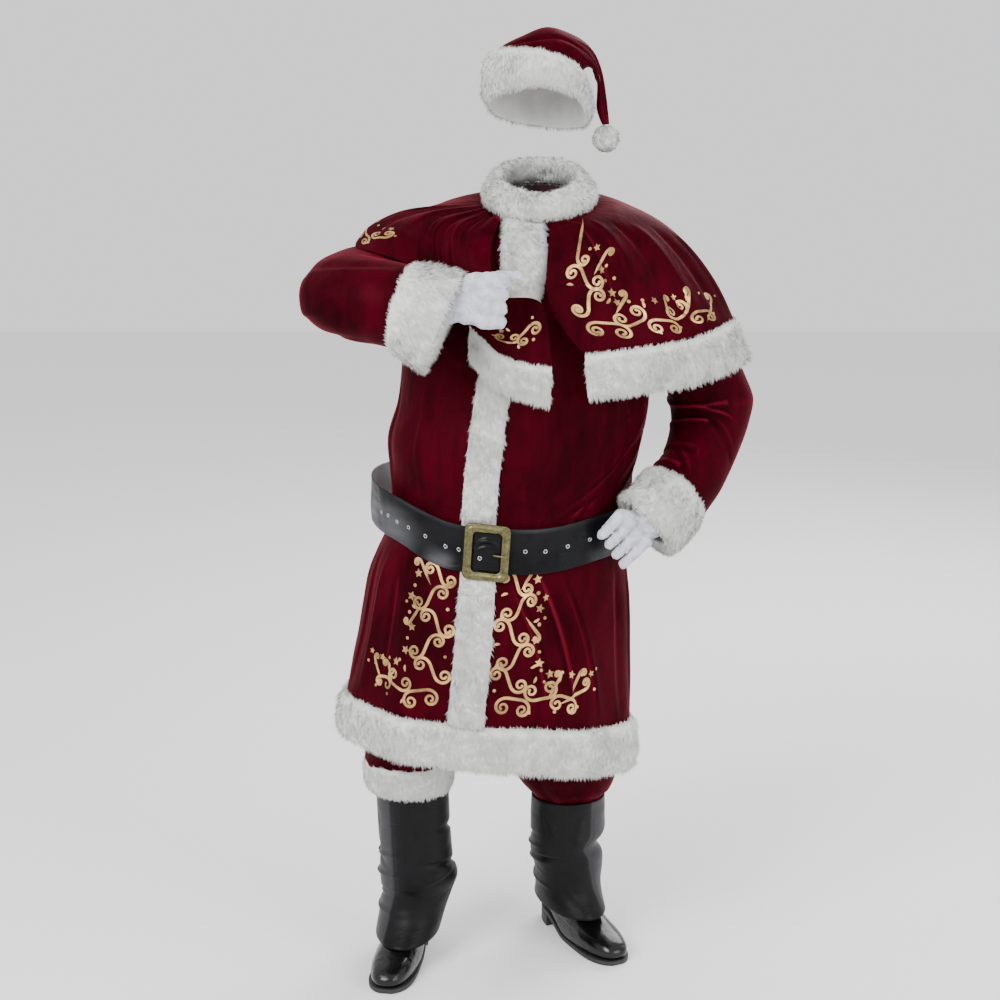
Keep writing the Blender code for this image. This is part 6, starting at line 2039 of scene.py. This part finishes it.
def on_cloth(grid, u, v, last_edge, lift):
    """Lay flat measures on a grid of cloth: u along its rows from one edge, v up that edge."""
    across, fallen = lengths(grid)
    if last_edge:
        across = (across[:, -1:] - across)[:, ::-1]
    edge = fallen[:, -1 if last_edge else 0]
    rows = np.interp(edge[-1] - v, edge, np.arange(len(edge)))
    low = np.clip(np.floor(rows).astype(int), 0, len(edge) - 2)
    columns = np.zeros(len(u))
    places = np.arange(grid.shape[1])
    for row in np.unique(low):
        here = low == row
        share = rows[here] - row
        columns[here] = ((1 - share) * np.interp(u[here], across[row], places)
                         + share * np.interp(u[here], across[row + 1], places))
    if last_edge:
        columns = grid.shape[1] - 1 - columns
    away = sample(normals(grid), rows, columns)
    return sample(grid, rows, columns) + unit(away) * lift


FOIL_LIFT = 0.0009           # how far the foil lies off the velvet
MOTIFS = {"scroll": scroll, "dot": disc, "star": star, "leaf": leaf}
# Where each motif goes and how it is made, in millimetres and degrees, as its function takes them: u from the
# piece's front edge, v up from its hem seam.
PRINT_COAT_LEFT = {
    "scroll": [
        (76, 284, 108, 180, -509, 477), (86, 238, 72, 194, 509, -530), (72, 190, 108, 199, -530, 530),
        (86, 142, 70, 199, 519, -530), (74, 98, 112, 199, -509, 509), (94, 58, -8, 211, -519, -530),
        (148, 60, 14, 202, 509, 530), (198, 62, -16, 170, -456, -509), (234, 74, 24, 120, 0, 488),
        (108, 306, 60, 84, 0, 400), (124, 186, -50, 78, 0, -400), (176, 96, 60, 78, 0, 400),
        (222, 104, 70, 72, 0, -400),
    ],
    "leaf": [
        (62, 262, 200, 15), (113, 208, 20, 15), (54, 164, 190, 14), (115, 118, 30, 15), (124, 88, 70, 15),
        (122, 40, -80, 12), (176, 90, 80, 14),
    ],
    "star": [
        (117, 288, 9.5, 10), (127, 232, 9, -14), (121, 172, 9, 20), (133, 128, 10, 0), (156, 108, 9, 12),
        (206, 104, 8.5, -10), (250, 104, 7, 24), (138, 252, 8, 6),
    ],
    "dot": [
        (121, 262, 3.8), (52, 218, 3.4), (127, 202, 3.8), (131, 150, 3.4), (50, 122, 3.4), (138, 114, 3.4),
        (182, 110, 3.4), (228, 104, 3.2), (262, 74, 3.2), (172, 36, 3.2), (222, 44, 3.2), (50, 74, 3.2),
        (52, 304, 3), (146, 92, 3), (262, 112, 3), (138, 214, 3.2),
    ],
}
PRINT_COAT_RIGHT = {
    "scroll": [
        (72, 294, 70, 170, 488, -498), (88, 248, 110, 194, -530, 498), (72, 200, 72, 199, 509, -530),
        (88, 152, 108, 199, -519, 530), (74, 106, 66, 199, 509, -509), (98, 60, -12, 216, -530, -509),
        (150, 60, 18, 182, 488, 509), (190, 68, -10, 110, -318, -466), (110, 308, 60, 84, 0, -400),
        (126, 196, -60, 78, 0, 400), (176, 94, 60, 78, 0, -400), (214, 94, 60, 72, 0, 400),
    ],
    "leaf": [
        (60, 272, 160, 15), (113, 222, 20, 15), (56, 176, 170, 14), (113, 130, 30, 15), (128, 92, 80, 15),
        (128, 40, -70, 12), (168, 90, 60, 13),
    ],
    "star": [
        (117, 290, 9, -10), (129, 244, 10, 14), (123, 184, 9, -8), (133, 136, 9.5, 22), (154, 108, 9, 0),
        (196, 106, 8, 16), (226, 112, 7, 6),
    ],
    "dot": [
        (123, 266, 3.6), (131, 212, 3.8), (52, 226, 3.4), (131, 160, 3.4), (50, 132, 3.2), (145, 114, 3.4),
        (176, 110, 3.4), (214, 90, 3.2), (170, 38, 3.2), (206, 46, 3), (52, 80, 3.2), (54, 310, 3),
        (140, 232, 3.2), (234, 90, 3),
    ],
}
PRINT_CAPE_LEFT = {
    "scroll": [
        (58, 212, 84, 149, -488, 0), (72, 162, 108, 199, -519, 509), (72, 114, 70, 194, 509, -519),
        (86, 66, -16, 235, -594, -530), (140, 58, 16, 202, 509, 509), (194, 54, -14, 202, -498, -530),
        (248, 56, 14, 194, 498, 509), (300, 52, -12, 170, -466, -488), (342, 60, 34, 120, 0, 466),
        (112, 196, 60, 80, 0, -400), (140, 108, 40, 78, 0, 400), (222, 94, 70, 74, 0, -400),
        (286, 92, 60, 74, 0, 400),
    ],
    "leaf": [
        (105, 186, 60, 15), (52, 147, 170, 14), (102, 105, 40, 15), (168, 85, 80, 14), (168, 36, -80, 12),
        (222, 85, 100, 14), (276, 83, 80, 13),
    ],
    "star": [
        (107, 168, 8.5, 12), (121, 124, 9.5, -10), (124, 105, 8, 8), (196, 97, 8, 20), (252, 97, 7.5, -6),
        (46, 101, 7, 0), (96, 214, 8, 0),
    ],
    "dot": [
        (80, 213, 3.2), (113, 148, 3.4), (44, 181, 3), (146, 103, 3.4), (172, 101, 3.2), (226, 101, 3.2),
        (280, 97, 3), (318, 89, 3), (222, 32, 3), (326, 38, 3), (366, 70, 2.8), (132, 150, 3.2),
        (118, 176, 3),
    ],
}
PRINT_CAPE_CORNER = {
    "scroll": [(48, 82, -34, 158, -477, -509), (88, 64, 12, 149, 456, 488)],
    "leaf": [(74, 95, 60, 13), (62, 54, -100, 12)],
    "star": [(92, 99, 7, 10)],
    "dot": [(30, 60, 3.2), (112, 82, 3), (26, 103, 2.8)],
}
PRINT_CAPE_ARM = {
    "scroll": [(42, 46, 10, 158, 477, 488), (88, 46, -12, 158, -477, -488), (134, 46, 14, 149, 466, 477)],
    "leaf": [(64, 73, 80, 13), (112, 73, 100, 12)],
    "star": [(40, 81, 7, 10), (134, 81, 7, -8)],
    "dot": [(88, 81, 3), (66, 26, 3), (110, 26, 3), (160, 60, 2.8)],
}
PRINTS = {                   # name: motifs, the piece's grid, whether u runs from its last edge
    "foil_coat_left": (PRINT_COAT_LEFT, lambda: coat_panel("coat_front_left"), False),
    "foil_coat_right": (PRINT_COAT_RIGHT, lambda: coat_panel("coat_front_right"), True),
    "foil_cape_left": (PRINT_CAPE_LEFT, cape_left_velvet, False),
    "foil_cape_corner": (PRINT_CAPE_CORNER, held_front, False),
    "foil_cape_arm": (PRINT_CAPE_ARM, held_front, True),
}


def foil(name, motifs, grid, last_edge):
    """A print as thin foil: flat motifs in millimetres, cut fine, laid on the cloth just off its face."""
    flat, faces = join([MOTIFS[kind](*facts) for kind, rows in motifs.items() for facts in rows])
    points = on_cloth(grid, *(flat.T / 1000.0), last_edge, FOIL_LIFT)
    item = make_mesh(name, points, faces, [finish("foil")])
    one = points[faces]
    up = np.cross(one[:, 1] - one[:, 0], one[:, 2] - one[:, 0])
    out = points[faces[:, 0]] - grid.reshape(-1, 3).mean(axis=0)
    if np.sum(up * out) < 0:
        item.data.flip_normals()
    return belongs(item, "brass")


class SUIT_OT_print(bpy.types.Operator):
    """Make the gold foil print: scrolls, leaves, stars and dots down each front and along each hem"""
    bl_idname = "suit.foil_print"
    bl_label = "Foil print"

    def execute(self, context):
        for name, (motifs, grid, last_edge) in PRINTS.items():
            foil(name, motifs, grid(), last_edge)
        return {"FINISHED"}


# ---------------------------------------------------------------- floor, light and view

FLOOR_HALF = 9.0
FLOOR_CLEAR = 0.0008         # how far the floor lies under the soles
AIR_LIGHT = 1.15
LIGHTS = (                   # name, place, aim, size, share of the key's power
    ("studio_key", (-2.4, -3.4, 1.9), (0.0, 0.0, -0.5), 2.2, 1.0),
    ("studio_fill", (3.2, -2.8, 0.6), (0.0, 0.0, -0.7), 2.6, 0.45),
    ("studio_back", (1.8, 3.0, 1.6), (0.0, 0.0, -0.6), 2.4, 0.5),
)
VIEW_PLACE = (-0.0754, -4.05, 0.35)
VIEW_TILT = 77.0             # degrees up from straight down


def studio_floor():
    """A level grid just under the soles."""
    across = np.linspace(-FLOOR_HALF, FLOOR_HALF, 25)
    x, y = np.meshgrid(across, across)
    points = np.stack([x, y, np.full_like(x, SOLID_BOX[0][2] - FLOOR_CLEAR)], axis=-1).reshape(-1, 3)
    floor = make_mesh("studio_floor", points, grid_quads(*x.shape, False), [finish("floor")], heights=False)


def studio_light(scene, key):
    """White air all round and three square lamps, each turned from its place to its aim."""
    world = bpy.data.worlds.new("studio_air")
    world.use_nodes = True
    air = world.node_tree.nodes["Background"]
    air.inputs["Color"].default_value = (1.0, 1.0, 1.0, 1.0)
    air.inputs["Strength"].default_value = AIR_LIGHT
    scene.world = world
    for name, place_at, aim, size, share in LIGHTS:
        data = bpy.data.lights.new(name, "AREA")
        data.shape = "SQUARE"
        data.size = size
        data.energy = key * share
        lamp = linked(name, data)
        lamp.location = place_at
        way = np.array(aim) - np.array(place_at)
        flat = math.hypot(way[0], way[1])
        lamp.rotation_euler = (math.atan2(flat, -way[2]), 0.0, math.atan2(-way[0], way[1]))


def studio_view(scene, lens):
    """The camera, in front of the suit and a little above its middle."""
    view = bpy.data.cameras.new("studio_view")
    view.lens = lens
    view.sensor_width = 36.0
    view.sensor_fit = "HORIZONTAL"
    view.clip_end = 60.0
    camera = linked("studio_view", view)
    camera.location = VIEW_PLACE
    camera.rotation_euler = (math.radians(VIEW_TILT), 0.0, 0.0)
    scene.camera = camera


class SUIT_OT_studio(bpy.types.Operator):
    """Make the pale floor, the soft studio light and the camera"""
    bl_idname = "suit.studio"
    bl_label = "Floor, light and view"

    def execute(self, context):
        studio = settings().studio
        studio_floor()
        studio_light(context.scene, studio.key)
        studio_view(context.scene, studio.lens)
        return {"FINISHED"}


# ---------------------------------------------------------------- panel and registration

STEPS = (SUIT_OT_studio, SUIT_OT_coat, SUIT_OT_sleeves, SUIT_OT_capelet, SUIT_OT_hat, SUIT_OT_gloves,
         SUIT_OT_trousers, SUIT_OT_boots, SUIT_OT_belt, SUIT_OT_print)


class SUIT_PT_panel(bpy.types.Panel):
    """Lists the suit's settings and its pieces"""
    bl_idname = "SUIT_PT_panel"
    bl_label = "Santa suit"
    bl_space_type = "VIEW_3D"
    bl_region_type = "UI"
    bl_category = "Santa suit"

    def draw(self, context):
        suit = context.scene.santa_suit
        for label in ("velvet", "fur", "leather", "trim", "studio"):
            group = getattr(suit, label)
            box = self.layout.box()
            box.label(text=label.capitalize())
            for field in group.bl_rna.properties:
                if field.identifier not in {"rna_type", "name"}:
                    box.prop(group, field.identifier)
        for step in STEPS:
            self.layout.operator(step.bl_idname)


CLASSES = (VelvetSettings, FurSettings, LeatherSettings, TrimSettings, StudioSettings, SuitSettings, *STEPS,
           SUIT_PT_panel)


def register():
    """Register the classes and give every scene its settings."""
    for made in CLASSES:
        bpy.utils.register_class(made)
    bpy.types.Scene.santa_suit = bpy.props.PointerProperty(type=SuitSettings)


def unregister():
    """Take the settings and the classes away again."""
    del bpy.types.Scene.santa_suit
    for made in reversed(CLASSES):
        bpy.utils.unregister_class(made)


def main():
    """Build the suit piece by piece."""
    register()
    for step in STEPS:
        group, action = step.bl_idname.split(".")
        getattr(getattr(bpy.ops, group), action)()


if __name__ == "__main__":
    main()
